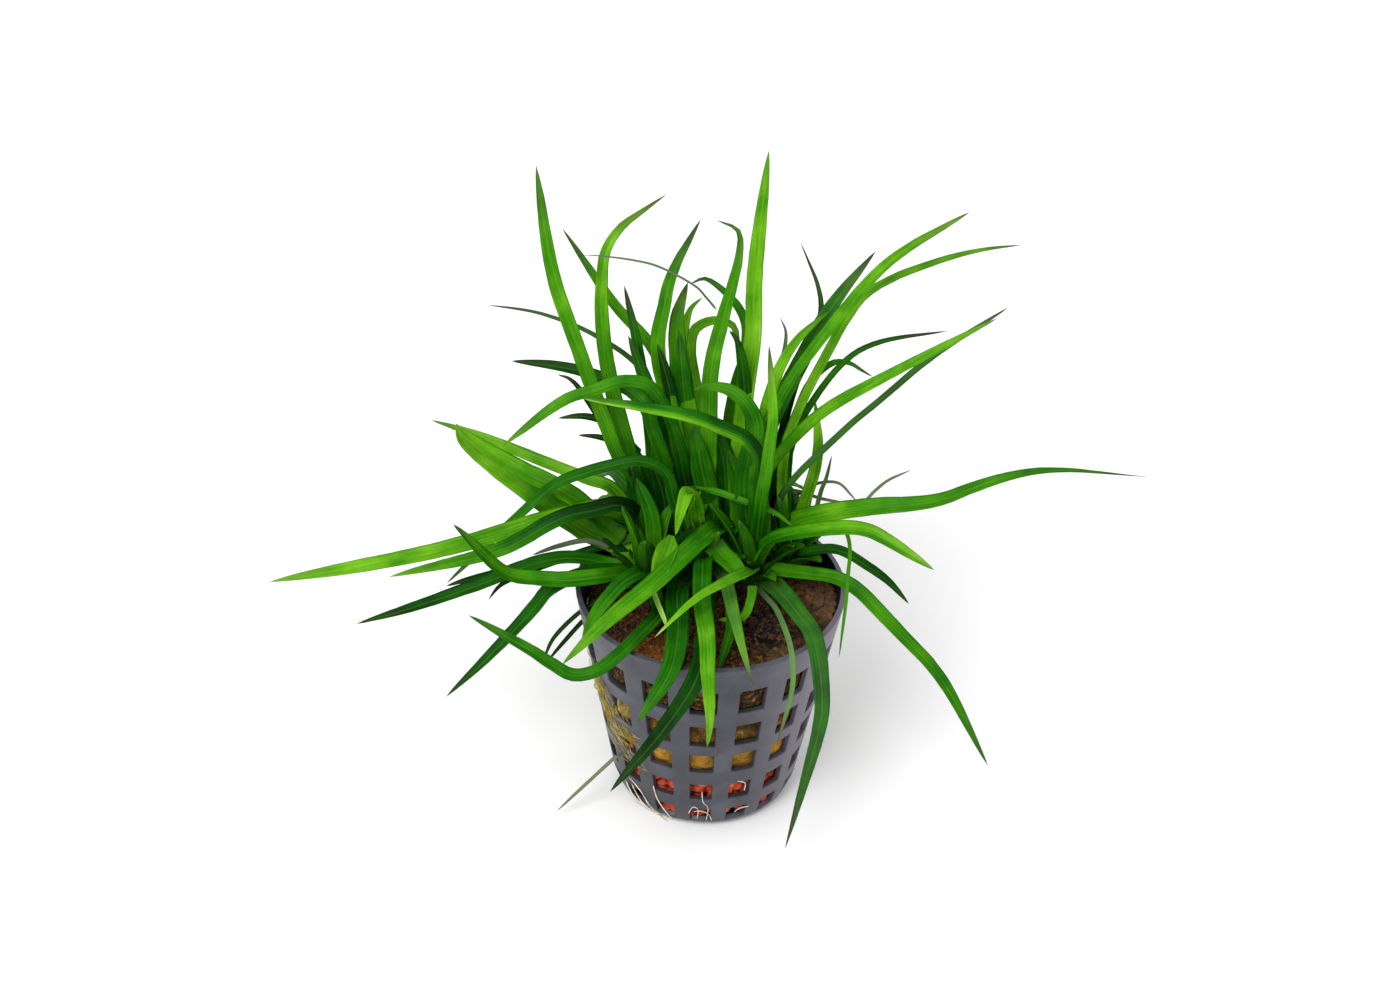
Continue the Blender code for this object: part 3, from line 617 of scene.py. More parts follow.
# Partly painted highlight: the blotches lighten and darken the tone at random, and their light patches stand
# in for highlights
blotches_and_highlight = node(tree, "MapRange", {"Value": blotch, "To Min": -0.26, "To Max": 0.28}).outputs[0]
lined = node(tree, "MapRange", {"Value": vein, "From Min": 0.25, "From Max": 0.75, "To Min": -0.1,
                                "To Max": 0.1}).outputs[0]
tone = node(tree, "Math", {0: parts[0], 1: blotches_and_highlight}, operation="ADD").outputs[0]
tone = node(tree, "Math", {0: tone, 1: lined}, operation="ADD").outputs[0]
green = node(tree, "ValToRGB", {"Fac": tone},
             stops=[(0.0, "#052603"), (0.2, "#0a4002"), (0.4, "#1b6202"), (0.6, "#3e8404"), (0.8, "#6cac18"),
                    (1.0, "#b2d66e")]).outputs[0]
middle = node(tree, "Math", {0: over[0]}, operation="ABSOLUTE").outputs[0]
rib = node(tree, "MapRange", {"Value": middle, "From Min": 0.25, "From Max": 0.05, "To Max": 0.1}).outputs[0]
ribbed = node(tree, "Mix", {0: rib, 6: green, 7: linear("#7fae45")}, data_type="RGBA").outputs[2]
foot = node(tree, "MapRange", {"Value": parts[2], "From Min": 0.16, "From Max": 0, "To Max": 0.3}).outputs[0]
footed = node(tree, "Mix", {0: foot, 6: ribbed, 7: linear("#6b8f2c")}, data_type="RGBA").outputs[2]
last = node(tree, "MapRange", {"Value": parts[2], "From Min": 0.82, "From Max": 1.0}).outputs[0]
dried = node(tree, "Math", {0: last, 1: parts[1]}, operation="MULTIPLY", use_clamp=True).outputs[0]
dead = node(tree, "MapRange", {"Value": parts[1], "From Min": 1, "From Max": 2}).outputs[0]
tipped = node(tree, "Mix", {0: dried, 6: footed, 7: linear("#3d352c")}, data_type="RGBA").outputs[2]
tipped = node(tree, "Mix", {0: dead, 6: tipped, 7: linear("#8a8678")}, data_type="RGBA").outputs[2]
under = node(tree, "MapRange", {"Value": look.outputs["Alpha"], "To Min": 0.3, "To Max": 0}).outputs[0]
colour = node(tree, "Mix", {0: under, 6: tipped, 7: linear("#3a6a1c")}, data_type="RGBA").outputs[2]
rough = node(tree, "MapRange", {"Value": blotch, "To Min": 0.34, "To Max": 0.55}).outputs[0]
bump = node(tree, "Bump", {"Height": vein, "Strength": 0.3, "Distance": 0.1 * MM}).outputs[0]
shader = node(tree, "BsdfPrincipled", {"Base Color": colour, "Roughness": rough, "Normal": bump, "IOR": 1.42,
                                       "Specular IOR Level": 0.08})
node(tree, "OutputMaterial", {"Surface": shader.outputs[0]})

CROWNS = {name: (sum(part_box(name), Vector()) / 2).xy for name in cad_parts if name.startswith("crown")}


def crown_near(place):
    """The crown whose middle is nearest to a place."""
    return min(CROWNS, key=lambda name: (CROWNS[name] - Vector(place[:2])).length)


def far_from_heart(v):
    """How far a vertex lies from the heart of the crown nearest to it."""
    crown = CROWNS[crown_near(v.co)]
    return (v.co - Vector((*crown, CROWN_FOOT + CROWN_HEART))).length


def middle_line(name):
    """A leaf solid's middle line and width, read from its rings of four corners, base first."""
    bm = bmesh.new()
    bm.from_mesh(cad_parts[name].data)
    bmesh.ops.remove_doubles(bm, verts=bm.verts, dist=MERGE)
    ring = sorted(bm.verts, key=far_from_heart)[:4]
    rings, done = [], set()
    while ring:
        rings.append([v.co.copy() for v in ring])
        done.update(ring)
        ring = list({e.other_vert(v) for v in ring for e in v.link_edges} - done)
    bm.free()
    width = max((a - b).length for corners in rings for a in corners for b in corners)
    return np.array([sum(corners, Vector()) / len(corners) for corners in rings]), width


# Each leaf's tone at the foot and at the tip, from 0 for the darkest green to 1 for lime, then what else sets
# it apart. Wide is its width for each part of its solid's. Dry browns its tip and, past 1, greys all of it.
# One setting paints one half of the fold lighter and the other darker, as painted light and shade.
LEAVES = {
    "leaf_tall_left": (0.44, 0.64, {"twist": 14, "dry": 0.6, "wide": 0.84, "taper": 8}),
    "leaf_left_hook": (0.38, 0.74, {"twist": -25, "dry": 0.9, "taper": 3, "wide": 1.15}),
    "leaf_left_short_spear": (0.5, 0.26, {"dry": 0.9, "taper": 7}),
    "leaf_left_rising": (0.6, 0.76, {"dry": 0.7}),
    "leaf_long_left": (0.56, 0.76, {"taper": 6, "wide": 0.92}),
    "leaf_long_left_upper": (-0.3, 0.79, {"painted_half_light": -0.06}),
    "leaf_left_broad": (0.62, 0.69, {"twist": 10, "wide": 1.06, "taper": 6}),
    "leaf_left_low_dark": (0.48, 0.14, {"taper": 5}),
    "leaf_left_upturned": (0.46, 0.5, {"painted_half_light": 0.06, "wide": 1.13}),
    "leaf_left_drooping": (0.3, 0.18, {"taper": 4}),
    "leaf_left_bowed": (0.23, 0.52, {"wide": 0.85, "dry": 0.5, "taper": 7}),
    "leaf_left_over_rim": (-0.04, 0.68, {"wide": 0.85}),
    "leaf_middle_arched_left": (0.14, 0.5, {"dry": 0.6}),
    "leaf_front_hanging": (0.21, 0.78, {"taper": 4}),
    "leaf_front_pale": (0.32, 0.74, {"taper": 2.4, "dry": 1.12, "wide": 1.3}),
    "leaf_front_low_dark": (0.26, 0.02, {"wide": 1.25}),
    "leaf_front_low_bright": (0.06, 0.5, {"wide": 1.12}),
    "leaf_middle_young": (0.5, 0.7, {"fold": 0.4, "dry": 0.1}),
    "leaf_front_left_broad": (0.3, 0.7, {"wide": 0.85}),
    "leaf_centre_tall": (0.76, 0.66, {"dry": 0.1, "taper": 6.5, "wide": 0.95}),
    "leaf_right_tall_bright": (0.28, 0.74, {"dry": 0.6, "wide": 0.66, "taper": 9}),
    "leaf_right_tall_grey": (0.36, 0.46, {"dry": 1.04, "wide": 1.15}),
    "leaf_right_curved_thin": (-0.05, 0.18, {"dry": 1.05, "taper": 3, "wide": 1.1}),
    "leaf_right_inner": (0.62, 0.68, {}),
    "leaf_right_grey_bent": (0.08, 0.54, {"dry": 0.8}),
    "leaf_back_arched_dark": (0.62, 0.4, {"wide": 1.4}),
    "leaf_middle_arched_band": (0.22, 0.56, {"wide": 1.3}),
    "leaf_crossing": (0, 0.74, {"painted_half_light": -0.2}),
    "leaf_front_torn": (0.5, 0.81, {"dry": 0.1, "taper": 2.2}),
    "leaf_front_right_hanging": (0.44, 0.24, {"taper": 1.9, "wide": 0.9, "dry": 1.06}),
    "leaf_right_hanging": (0.54, 0.46, {"wide": 0.76, "taper": 4}),
    "leaf_right_short": (0.26, 0.78, {"painted_half_light": -0.08, "wide": 1.1, "taper": 7}),
    "leaf_front_right_thin": (0.46, 0.58, {"wide": 0.62, "dry": 1.3}),
    "leaf_right_front_spear": (0.16, 0.79, {"dry": 0.9}),
    "leaf_right_long_bright": (0.5, 0.72, {"wide": 0.8}),
    "leaf_far_right_long": (0.7, 0.36, {"taper": 1.9, "point": 1.5, "dry": 0.8, "wide": 1.36}),
    "leaf_far_right_dark": (0.44, 0.14, {}),
    "leaf_far_right_under": (0.36, 0.38, {"wide": 0.62, "taper": 9, "dry": 1.1}),
    "leaf_far_right_upright": (0.66, 0.7, {}),
    "leaf_far_right_arched": (0.54, 0.17, {"dry": 1.0, "wide": 0.78}),
    "leaf_far_right_rising": (0.78, 0.64, {"dry": 0.6, "wide": 0.76}),
    "leaf_back_crossed": (0.57, 0.58, {"dry": 0.9, "wide": 0.9}),
    "leaf_back_left_thin": (0.42, 0.18, {"dry": 1.1, "wide": 0.8}),
    "leaf_back_left_dark": (0.68, 0.04, {"dry": 0.5, "wide": 1.5, "taper": 7}),
    "leaf_back_left_arched": (0.08, 0.68, {"taper": 8}),
    "leaf_centre_hooked": (0.5, 0.58, {"dry": 0.7, "taper": 3, "wide": 1.25}),
    "leaf_centre_spear": (0.7, 0.42, {"dry": 0.9, "wide": 1.3}),
    "leaf_centre_bent": (0.5, 0.6, {"dry": 0.9, "wide": 1.6}),
    "leaf_back_short": (0.62, 0.7, {"wide": 1.4}),
    "leaf_back_looped": (0.91, 0.6, {"dry": 0.7, "wide": 1.4}),
}

# The upper sides of the leaves turn upwards and to the viewer
to_viewer = np.array(toward) + (0, 0, 1)
for name, (foot_tone, tip_tone, more) in LEAVES.items():
    line, width = middle_line(name)
    heart = (*CROWNS[crown_near(line[0])], CROWN_FOOT)
    path = smooth_path([heart, *line], STATIONS)
    bm = bmesh.new()
    width *= more.pop("wide", 1)
    add_blade(bm, path, width, (foot_tone, tip_tone), to_viewer, **more)
    bmesh.ops.recalc_face_normals(bm, faces=bm.faces)
    add_piece(name + "_blade", bm, leaf, [name])


# Smaller leaves: the same soft waxy blades, young or half hidden, which grow from the same crowns and fill
# the middle. A few thin dead ones lie between them.
def seen(across_mm, up_mm, back_mm):
    """The place that far back where the photographer sees the point of the plane through LOOK_AT."""
    plane = LOOK_AT + across * across_mm * MM + up * up_mm * MM
    along = (back_mm * MM - eye.y) / (plane.y - eye.y)
    return eye + (plane - eye) * along


# Each one's width in mm, its tones and what else sets it apart, as above, then its places in mm: across and
# up as the photographer sees them, and back from the pot's axis
SMALL_LEAVES = [
    (0.8, 0.45, 0.3, {"dry": 1.6}, [(-16.4, -51, -10.5), (-18.4, -52.8, -11.5), (-23.4, -57.4, -14),
     (-28.6, -62.2, -17)]),
    (0.5, 0.3, 0.2, {"fold": 0, "dry": 1.4}, [(3.4, 38, 30), (1.2, 40.6, 29), (-1.2, 43, 28), (-8, 46.6, 27),
     (-13.4, 48, 26), (-19.6, 48.8, 25), (-23.8, 49, 24)]),
    (1.5, 0.3, 0.15, {"dry": 0.8}, [(-12, 9, 22), (-17.6, 12.8, 23.3), (-24.8, 23, 24.7),
     (-28.6, 25.2, 26)]),
    (1.8, 0.2, 0.08, {"dry": 0.8}, [(-12, 9, 21), (-18, 14.8, 22), (-22.8, 16.6, 23), (-28.4, 16.4, 24)]),
    (1.6, 0.2, 0.05, {"dry": 0.8}, [(-11, 6, 19), (-16, 10.8, 19.7), (-19.8, 12.4, 20.3), (-24.4, 13, 21)]),
    (0.8, 0.55, 0.5, {}, [(27.6, -5.6, 6), (29.4, -7, 2), (30, -10.4, -3), (29.6, -15, -8),
     (29.2, -20.4, -10), (28.4, -26.8, -13), (27.8, -31.6, -15)]),
    (4.6, 0.56, 0.78, {"taper": 1.5, "foot": 0.8, "fold": 0.35, "dry": 0}, [(-1, -5, 7), (-1.8, -0.4, 5),
     (-2.6, 1.2, 3), (-3.4, -1, 1.2), (-4.2, -4, 0.4), (-4.9, -7.2, 0)]),
    (1.7, 0.3, 0.08, {"dry": 0.6}, [(14, 4, 22), (20, 25.6, 25), (27.4, 36.4, 28), (30.8, 41, 31),
     (34.2, 44.8, 34)]),
    (1.1, 0.3, 0.2, {"dry": 1.3}, [(13, 12, 24), (15.6, 24, 26.3), (17.2, 32.6, 28.7), (16, 36.6, 31)]),
    (1, 0.6, 0.4, {"dry": 1.3}, [(21.6, -9, 18), (24, 1, 20), (25.2, 4.2, 22), (26.4, 9, 24)]),
    (0.7, 0.3, 0.2, {"dry": 1.6}, [(18, 0, 24), (22.4, 2.8, 23.6), (25.4, 3.6, 23.2), (28, 3.2, 22.8),
     (30.2, 1, 22.4), (31.6, -0.6, 22)]),
    (0.8, 0.3, 0.25, {"dry": 1.6}, [(16, 1.6, 26), (19.2, 1.8, 24.7), (24.4, 0.2, 23.3), (30.2, -0.8, 22)]),
    (0.7, 0.5, 0.4, {"dry": 1.4}, [(28, -3.6, 16), (32.8, -0.4, 18), (35, 1.8, 20), (37.8, 4, 22),
     (42.2, 6, 24)]),
    (5.2, 0.45, 0.36, {}, [(2.4, -9.6, 13), (1.6, 0, 15), (0, 7.6, 17), (-1.4, 15, 19)]),
    (1.6, 0.4, 0.58, {"dry": 0.1, "foot": 0.2}, [(-2, 2.8, 15), (3.2, 1.6, 12), (8, 0, 10), (12.4, -1.6, 8),
     (15.6, -3, 7), (18.6, -5.4, 6)]),
    (1.2, 0.3, 0.25, {"dry": 1.5}, [(-18, -9.6, 8), (-22.6, -8.2, 7.3), (-28, -9.2, 6.7), (-33.6, -11, 6)]),
    (1, -0.1, -0.2, {"dry": 0.6}, [(-20, -20, -2), (-24.3, -22.7, -5), (-29.2, -27.6, -9),
     (-31.5, -32.5, -13)]),
    (1, 0, -0.2, {"dry": 0.6}, [(-19.4, -20.6, 0), (-23.1, -23.9, -3), (-27.2, -28.4, -7),
     (-30.7, -32.5, -11)]),
    (1.1, 0.8, 0.95, {"dry": 0.2}, [(-10.4, -15, -6), (-8.8, -19.8, -8.7), (-7.4, -23.2, -11.3),
     (-6, -26.8, -14)]),
    (4.4, 0.6, 0.7, {"taper": 4, "foot": 0.3, "fold": 0.4}, [(-5.6, -7, 2), (-6.4, -10, -1),
     (-7.6, -13, -4), (-8.8, -18, -9)]),
    (4.4, 0.42, 0.55, {}, [(2.4, -9, 4), (4.4, -11.2, 2), (6.6, -13.2, -1), (9, -16, -4)]),
    (1.8, 0.5, 0.7, {"dry": 0.2}, [(10.4, -17, -4), (10.2, -19.8, -7), (8.4, -23.6, -11), (3.6, -24, -13)]),
    (2.2, 0.45, 0.4, {}, [(5.6, -18, -6), (6.2, -22.4, -12), (6, -26.6, -17), (3.6, -34.2, -24)]),
    (1.8, 0.3, 0.1, {"dry": 0.6}, [(-12, -7, 10), (-28, -12, 6.7), (-38.8, -16.4, 3.3), (-42.4, -20, 0)]),
    (1.7, 0.35, 0.2, {"dry": 0.8}, [(-28, -11.2, 4), (-40, -14.4, 0.7), (-46.4, -16, -2.7),
     (-50.8, -17.2, -6)]),
    (4.8, 0.35, 0.3, {}, [(-6.4, -9, 15), (-12, 4.4, 17), (-17.6, 15, 19), (-21.6, 21.6, 21)]),
    (3.4, 0.2, 0.06, {"dry": 0.2}, [(-4.4, -8, 18), (-4.8, 8, 21.3), (-5.8, 20.4, 24.7), (-8.6, 31.4, 28)]),
    (4, 0.4, 0.3, {}, [(-4.8, -9, 17), (-6.4, 7.6, 20.7), (-10, 20.8, 24.3), (-14.4, 33, 28)]),
    (4.6, 0.42, 0.32, {}, [(0, -9, 18), (-0.6, 5.4, 22), (-3, 19.2, 26), (-4.2, 34, 30)]),
    (3.6, 0.4, 0.5, {}, [(2.4, -8, 20), (1.6, 12, 23.3), (1.4, 20.8, 26.7), (3.2, 29.6, 30)]),
    (4.8, 0.5, 0.44, {}, [(4.4, -9, 19), (5.4, 4.2, 22.7), (6.6, 15.4, 26.3), (7.8, 28, 30)]),
    (4, 0.16, 0.06, {}, [(7.6, -9, 17), (9.6, 5.4, 19.3), (10.4, 13.6, 21.7), (8.8, 20, 24)]),
    (6, 0.36, 0.26, {}, [(4, -10, 15), (5.2, 0, 17), (4.4, 9, 19), (2.4, 15, 21)]),
    (4.8, 0.3, 0.2, {}, [(-10, -12, 8), (-11.4, -6, 10), (-12.6, 1, 12), (-14, 7.6, 14)]),
    (4.2, 0.18, 0.12, {}, [(-6.8, -12, 10), (-7, -5, 11.7), (-7.4, 1, 13.3), (-10, 8.4, 15)]),
    (3.4, 0.5, 0.42, {}, [(-8.8, -12, 6), (-9.6, -4, 7.3), (-10.8, 0, 8.7), (-12.8, 4.4, 10)]),
    (4.2, 0.2, 0.1, {}, [(9.6, -11, 16), (12.8, -2.4, 19), (16.2, 7, 22), (20, 17, 25)]),
    (4.4, 0.4, 0.3, {}, [(8.4, -11, 14), (10.6, -3.6, 17.3), (16.2, 8.6, 20.7), (21.6, 21, 24)]),
    (5.2, 0.5, 0.44, {}, [(7.6, -12, 10), (8.4, -3.6, 11.7), (7.6, 3.2, 13.3), (5.6, 10, 15)]),
    (4.6, 0.55, 0.5, {}, [(10.4, -12, 9), (12, -4.6, 10.7), (11.2, 1, 12.3), (9.6, 7.6, 14)]),
    (2.4, 0.45, 0.3, {"dry": 0.8}, [(15.2, -12, 14), (17.2, -6, 16), (18, -1, 18), (17.2, 4.4, 20)]),
    (4.6, 0.24, 0.14, {}, [(-2, -12, 13), (-3.2, -4, 15), (-3.6, 4, 17), (-4.8, 12, 19)]),
    (4.2, 0.5, 0.7, {"dry": 0.2}, [(-15, -8.4, 9), (-20.4, -3.8, 10.6), (-25, 0.2, 11.8), (-30, 3, 13.2),
     (-36, 6, 15), (-42, 9.6, 17), (-46.4, 12.8, 18.4), (-48.6, 15.2, 19)]),
    (2.8, 0.35, 0.25, {}, [(10, 6, 22), (9.6, 14, 24), (9, 21, 25), (8.4, 27, 25.4), (7.4, 31.6, 25.4),
     (5.8, 34, 25)]),
]
SMALL_STATIONS = 34
bm = bmesh.new()
for width, foot_tone, tip_tone, more, spots in SMALL_LEAVES:
    path = smooth_path([seen(*spot) for spot in spots], SMALL_STATIONS)
    add_blade(bm, path, width * MM, (foot_tone, tip_tone), to_viewer, **more)
bmesh.ops.recalc_face_normals(bm, faces=bm.faces)
add_piece("small_leaves", bm, leaf)


# Rear leaves: the same blades again, which grow from the crowns of the far side, arch back over the rim and
# hang behind the pot. Each has its own length, height and lean.
REAR_LEAVES = 22
REAR_STATIONS = 30
REAR_FEET_WIDE = 20 * MM
REAR_FEET_BACK = 22 * MM
REAR_DEGREES = (52, 128)
REAR_REACH_MM = (19, 25)
REAR_HEIGHT_MM = (5, 12)
REAR_DROP_MM = (4, 20)
REAR_WIDTH_MM = (2.4, 3.8)
REAR_TONE = (0.15, 0.62)

# Places along a rear leaf: its share of the reach, of the height and of the drop
REAR_ARCH = [(0, 0, 0), (0.3, 0.85, 0), (0.62, 1, 0), (0.88, 1, 0.5), (1, 1, 1)]
bm = bmesh.new()
for index in range(REAR_LEAVES):
    share = index / (REAR_LEAVES - 1)
    angle = math.radians(between(*REAR_DEGREES, share) + rng.uniform(-5, 5))
    out = np.array((math.cos(angle), math.sin(angle), 0))
    crown = crown_near((REAR_FEET_WIDE * out[0], REAR_FEET_BACK))
    foot = np.array((*CROWNS[crown], CROWN_FOOT))
    reach = rng.uniform(*REAR_REACH_MM) * (0.75 + 0.25 * math.sin(angle))
    high = rng.uniform(*REAR_HEIGHT_MM) * math.sin(angle) ** 2 + 4
    drop = rng.uniform(*REAR_DROP_MM)
    spots = []
    for along, lifted, dropped in REAR_ARCH:
        spots.append(foot + (along * reach * out + (0, 0, lifted * high - dropped * drop)) * MM)
    tone = rng.uniform(*REAR_TONE)
    width = rng.uniform(*REAR_WIDTH_MM) * MM
    add_blade(bm, smooth_path(spots, REAR_STATIONS), width, (tone, tone + rng.uniform(-0.1, 0.2)),
              out * 0.4 + (0, 0, 1), dry=rng.uniform(0.1, 0.8), twist=rng.uniform(-20, 20))
bmesh.ops.recalc_face_normals(bm, faces=bm.faces)
add_piece("rear_leaves", bm, leaf)


# Crowns: each rosette's short stem is hidden by the broad feet of its own leaves. The oldest feet lie lowest
# and lean out, and the youngest blades stand upright in the middle.
CROWN_BLADES = 13
CROWN_STATIONS = 18
CROWN_SINK = 0.8 * MM
CROWN_TURN = 40
GOLDEN_ANGLE = math.radians(137.5)

# From the oldest blade of a crown to its youngest
CROWN_OUT_MM = (2.6, 1.0)
CROWN_LENGTH_MM = (9, 22)
CROWN_LEAN_DEGREES = (52, 12)
for name, middle in CROWNS.items():
    bm = bmesh.new()
    for index in range(CROWN_BLADES):
        # The place of the crown turns its spiral, so that no two look alike
        angle = index * GOLDEN_ANGLE + CROWN_TURN * middle.x
        out = np.array((math.cos(angle), math.sin(angle), 0))
        young = index / (CROWN_BLADES - 1)
        long = between(*CROWN_LENGTH_MM, young) * rng.uniform(0.8, 1.15)
        lean = math.radians(between(*CROWN_LEAN_DEGREES, young))
        foot = np.array((*middle, CROWN_FOOT - CROWN_SINK)) + out * between(*CROWN_OUT_MM, young) * MM
        spots = []
        for t in (0, 0.25, 0.5, 0.75, 1):
            tilt = lean * between(0.35, 1, t)
            spots.append(foot + long * t * MM * (out * math.sin(tilt) + (0, 0, math.cos(tilt))))
        tone = rng.uniform(0.1, 0.52)
        width = rng.uniform(3.8, 5.2) * MM
        add_blade(bm, smooth_path(spots, CROWN_STATIONS), width, (tone, tone + 0.08), (0, 0, 1) - out,
                  fold=0.3, taper=3.4, dry=0.25)
    bmesh.ops.recalc_face_normals(bm, faces=bm.faces)
    add_piece(name + "_blades", bm, leaf, [name])


# Roots: fine pale living roots, which have grown out through the lower holes at the front. They cling to the
# pot's wall, and the longest reach the floor before it.
ROOT_STATIONS = 16
ROOT_CLEAR = 0.1 * MM
ROOT_LOWEST = 0.3 * MM
ASKEW = (0.3, 0.5, 0.81)
STRAND_MERGE = 0.001 * MM


def on_wall(across_mm, up_mm):
    """The place just off the pot's wall where the photographer sees the point, or on the floor before it."""
    back = -20

    # Each round brings the place nearer to the wall
    for _ in range(8):
        place = seen(across_mm, up_mm, back)
        radius = (pot_radius(max(place.z, 0)) + ROOT_CLEAR) / MM
        back = -math.sqrt(max(radius**2 - (place.x / MM) ** 2, 1))
    place = seen(across_mm, up_mm, back)
    to_floor = (eye.z - ROOT_LOWEST) / (eye.z - place.z)
    return eye + (place - eye) * min(to_floor, 1)


def add_strand(bm, path, thick, sides=5):
    """A fine round strand along the path: a grid rolled into a tube and closed at both ends."""
    grid = bmesh.ops.create_grid(bm, x_segments=sides, y_segments=len(path) - 1, size=1)["verts"]
    run = unit(np.gradient(path, axis=0))
    side = unit(np.cross(run, ASKEW))
    normal = np.cross(side, run)
    for v in grid:
        turn = round((v.co.x + 1) / 2 * sides) / sides * math.tau
        station = round((v.co.y + 1) / 2 * (len(path) - 1))
        radius = thick / 2 * (0 < station < len(path) - 1)
        v.co = path[station] + radius * (side[station] * math.cos(turn) + normal[station] * math.sin(turn))
    bmesh.ops.remove_doubles(bm, verts=grid, dist=STRAND_MERGE)


# Each root's thickness in mm, and its places across and up in mm as the photographer sees them
ROOTS = [
    (0.28, [(-15, -55.8), (-13.2, -59.2), (-10, -61.8), (-6.4, -64.2)]),
    (0.26, [(-13.8, -56.6), (-11.6, -60.4), (-8.6, -62.6), (-4, -64.2)]),
    (0.22, [(-14.4, -55.2), (-12, -58), (-10, -61.2), (-7.6, -63.2)]),
    (0.3, [(-9.4, -57), (-8.6, -59.6), (-7.4, -61.6), (-5.4, -64)]),
    (0.2, [(0.4, -58.2), (0.6, -60.4), (1.6, -61.6), (1.2, -64.2)]),
    (0.2, [(-1.4, -62.4), (0, -62.2), (1.6, -62.8), (2.4, -64.2)]),
    (0.18, [(-2.4, -62.8), (-1.4, -61.4), (-0.4, -62), (-0.6, -63.8)]),
    (0.2, [(7.4, -56.2), (9, -56.6), (8.8, -58.2)]),
    (0.22, [(6.8, -62.4), (8, -61.6), (9.8, -61.2)]),
]
bm = bmesh.new()
for thick, spots in ROOTS:
    path = [on_wall(*spot) for spot in spots]
    add_strand(bm, smooth_path(path, ROOT_STATIONS), thick * MM)

# Living root, pale: a damp ivory skin, faintly mottled, with a soft sheen
root, tree = new_material("living_root_pale")
place = node(tree, "TexCoord").outputs["Object"]
mottle = node(tree, "TexNoise", {"Vector": place, "Scale": 1 / (1.25 * MM), "Detail": 2}).outputs[0]
colour = node(tree, "ValToRGB", {"Fac": mottle}, stops=[(0.35, "#c2b69c"), (0.65, "#efe8d6")]).outputs[0]
shader = node(tree, "BsdfPrincipled", {"Base Color": colour, "Roughness": 0.6})
node(tree, "OutputMaterial", {"Surface": shader.outputs[0]})
add_piece("fine_roots", bm, root)


# Loose wool: a khaki tuft of the plug's spun stone fibre, pulled out through the holes on the left. It lies
# over the bars, on a diagonal that falls towards the front.
TUFT_FIBRES = 220
TUFT_STATIONS = 7
TUFT_DEGREES = -148
TUFT_HEIGHT_MM = 25.5
TUFT_LOWEST = 14 * MM
TUFT_HIGHEST = 38 * MM
bm = bmesh.new()
for _ in range(TUFT_FIBRES):
    along = rng.gauss(0, 1)
    angle = math.radians(TUFT_DEGREES + 7 * along + rng.gauss(0, 5))
    height = (TUFT_HEIGHT_MM - 4 * along + rng.gauss(0, 2.6)) * MM
    slope = rng.gauss(-0.8, 0.5)
    long = rng.uniform(2, 7) * MM
    lift = rng.uniform(-0.6, 0.7) * MM
    spots = []
    for t in (-0.5, -0.2, 0.15, 0.5):
        z = min(max(height + long * t * math.sin(slope), TUFT_LOWEST), TUFT_HIGHEST)
        turn = angle + long * t * math.cos(slope) / pot_radius(z)
        reach = pot_radius(z) + lift * (1 - 3 * t * t) + rng.uniform(-0.15, 0.15) * MM
        spots.append((reach * math.cos(turn), reach * math.sin(turn), z))
    add_strand(bm, smooth_path(spots, TUFT_STATIONS), rng.uniform(0.08, 0.17) * MM, sides=4)

# Mineral wool, loose: clean dull fibre that the soil hasn't stained, straw to khaki from lock to lock
fibres, tree = new_material("mineral_wool_loose")
place = node(tree, "TexCoord").outputs["Object"]
shade = node(tree, "TexNoise", {"Vector": place, "Scale": 1 / (2.38 * MM), "Detail": 3}).outputs[0]
colour = node(tree, "ValToRGB", {"Fac": shade}, stops=[(0.3, "#6e5a22"), (0.5, "#a8944a"), (0.7, "#cdbf86")])
shader = node(tree, "BsdfPrincipled", {"Base Color": colour.outputs[0], "Roughness": 0.9,
                                       "Specular IOR Level": 0.2})
node(tree, "OutputMaterial", {"Surface": shader.outputs[0]})
add_piece("loose_wool_tuft", bm, fibres)


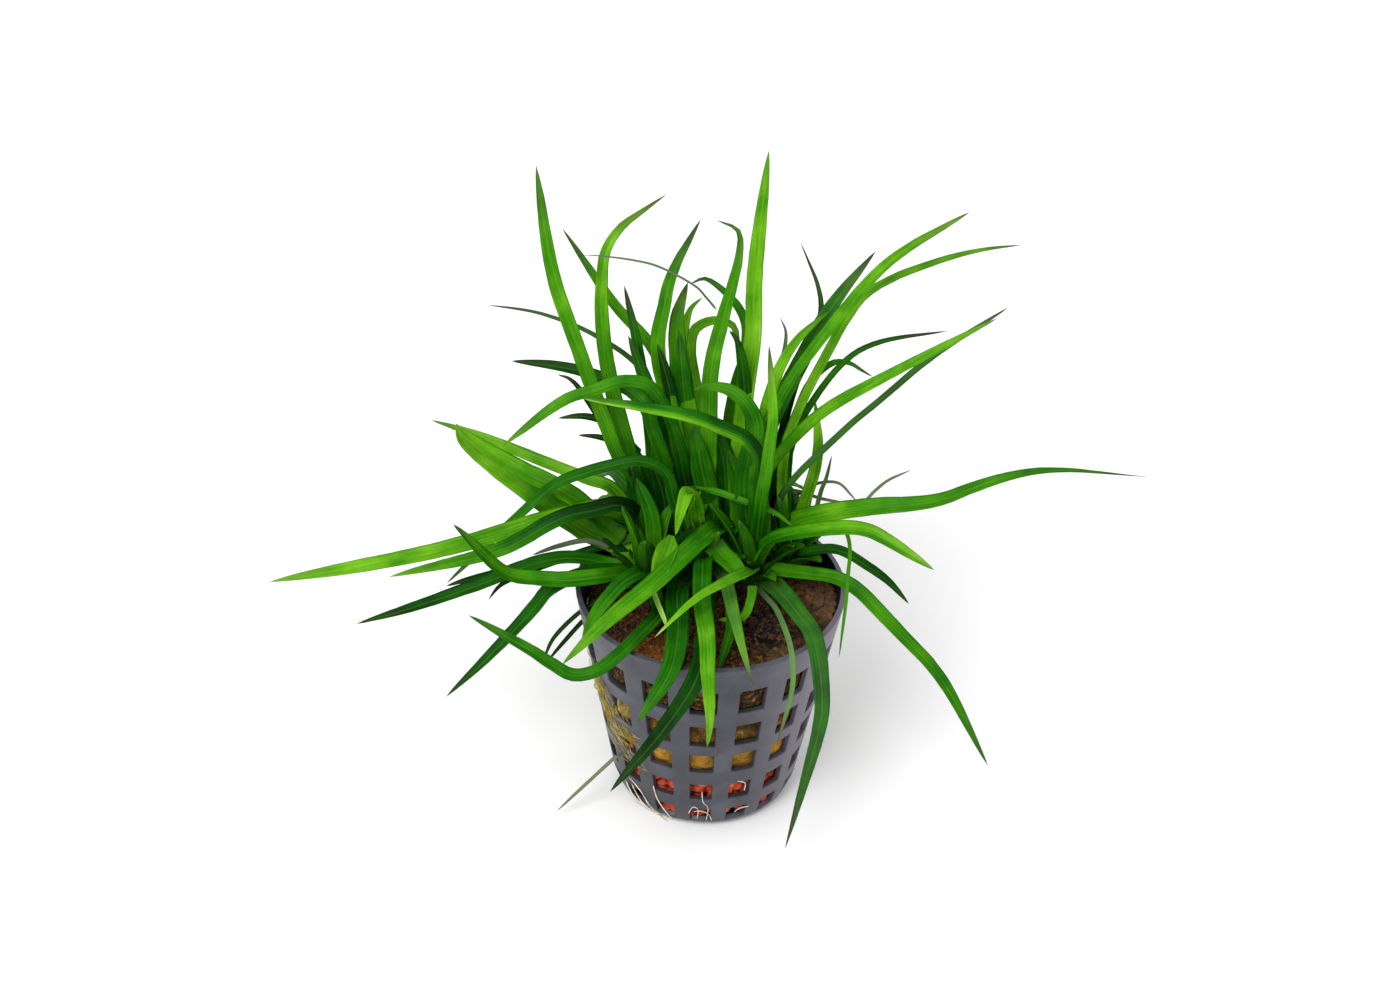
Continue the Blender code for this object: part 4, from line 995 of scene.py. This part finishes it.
# Heaped crumbs: more of the peat and clay crumbs, which fill the gap between the wool and the pot's wall. A
# heap of them lies against the wall on the right, nearly as high as the rim.
HEAP_CRUMBS = 1000
HEAP_HIGH = 3.2 * MM
HEAP_WIDE = 4.5 * MM
HEAP_ANGLE = -0.1
HEAP_SPREAD = 0.4
HEAP_FALL = 0.45
HEAP_CLEAR = 0.5 * MM
heap_spots = []
for _ in range(HEAP_CRUMBS):
    angle = rng.choice((rng.uniform(-math.pi, math.pi), rng.gauss(HEAP_ANGLE, HEAP_SPREAD)))
    slope = rng.random()
    height = WOOL_HIGH + HEAP_HIGH * slope * math.exp(-((angle - HEAP_ANGLE) / HEAP_FALL) ** 2)
    reach = pot_radius(height) - POT_WALL - HEAP_CLEAR - HEAP_WIDE * (1 - slope)
    spot = Vector((reach * math.cos(angle), reach * math.sin(angle), height))
    heap_spots.append((spot, rng.uniform(0.7, 1.4) * MM))
add_piece("crumbs_against_wall", grains(heap_spots), crumb)


# Floor and light: a sweep of white paper under the pot, one large soft lamp high on the left and an even
# white surround, as in a small photo studio.
FLOOR_HALF = 3
FLOOR_TOP = -0.1 * MM
LAMP_AT = Vector((-0.45, -0.75, 1.15))
LAMP_AIM = Vector((0, 0, 0.06))
LAMP_WIDE = 0.7
LAMP_WATTS = 13
SKY_STRENGTH = 0.85
floor_mesh = bpy.data.meshes.new("floor")
bm = bmesh.new()
bmesh.ops.create_grid(bm, x_segments=1, y_segments=1, size=FLOOR_HALF)
bmesh.ops.translate(bm, verts=bm.verts, vec=(0, 0, FLOOR_TOP))
bm.to_mesh(floor_mesh)
bm.free()
floor = bpy.data.objects.new("floor", floor_mesh)
bpy.context.scene.collection.objects.link(floor)

# White paper: dull and even, with no grain that shows
paper, tree = new_material("white_paper_sweep")
shader = node(tree, "BsdfPrincipled", {"Base Color": linear("#fbfbfb"), "Roughness": 0.9})
node(tree, "OutputMaterial", {"Surface": shader.outputs[0]})
floor_mesh.materials.append(paper)

lamp = bpy.data.objects.new("soft_lamp", bpy.data.lights.new("soft_lamp", "AREA"))
bpy.context.scene.collection.objects.link(lamp)
lamp.location = LAMP_AT
lamp.rotation_euler = (LAMP_AT - LAMP_AIM).to_track_quat("Z", "Y").to_euler()
lamp.data.size = LAMP_WIDE
lamp.data.energy = LAMP_WATTS
world = bpy.data.worlds.new("studio")
bpy.context.scene.world = world
world.use_nodes = True
world.node_tree.nodes["Background"].inputs["Color"].default_value = (1, 1, 1, 1)
world.node_tree.nodes["Background"].inputs["Strength"].default_value = SKY_STRENGTH
bpy.context.scene.view_settings.view_transform = "Standard"

bpy.context.view_layer.update()
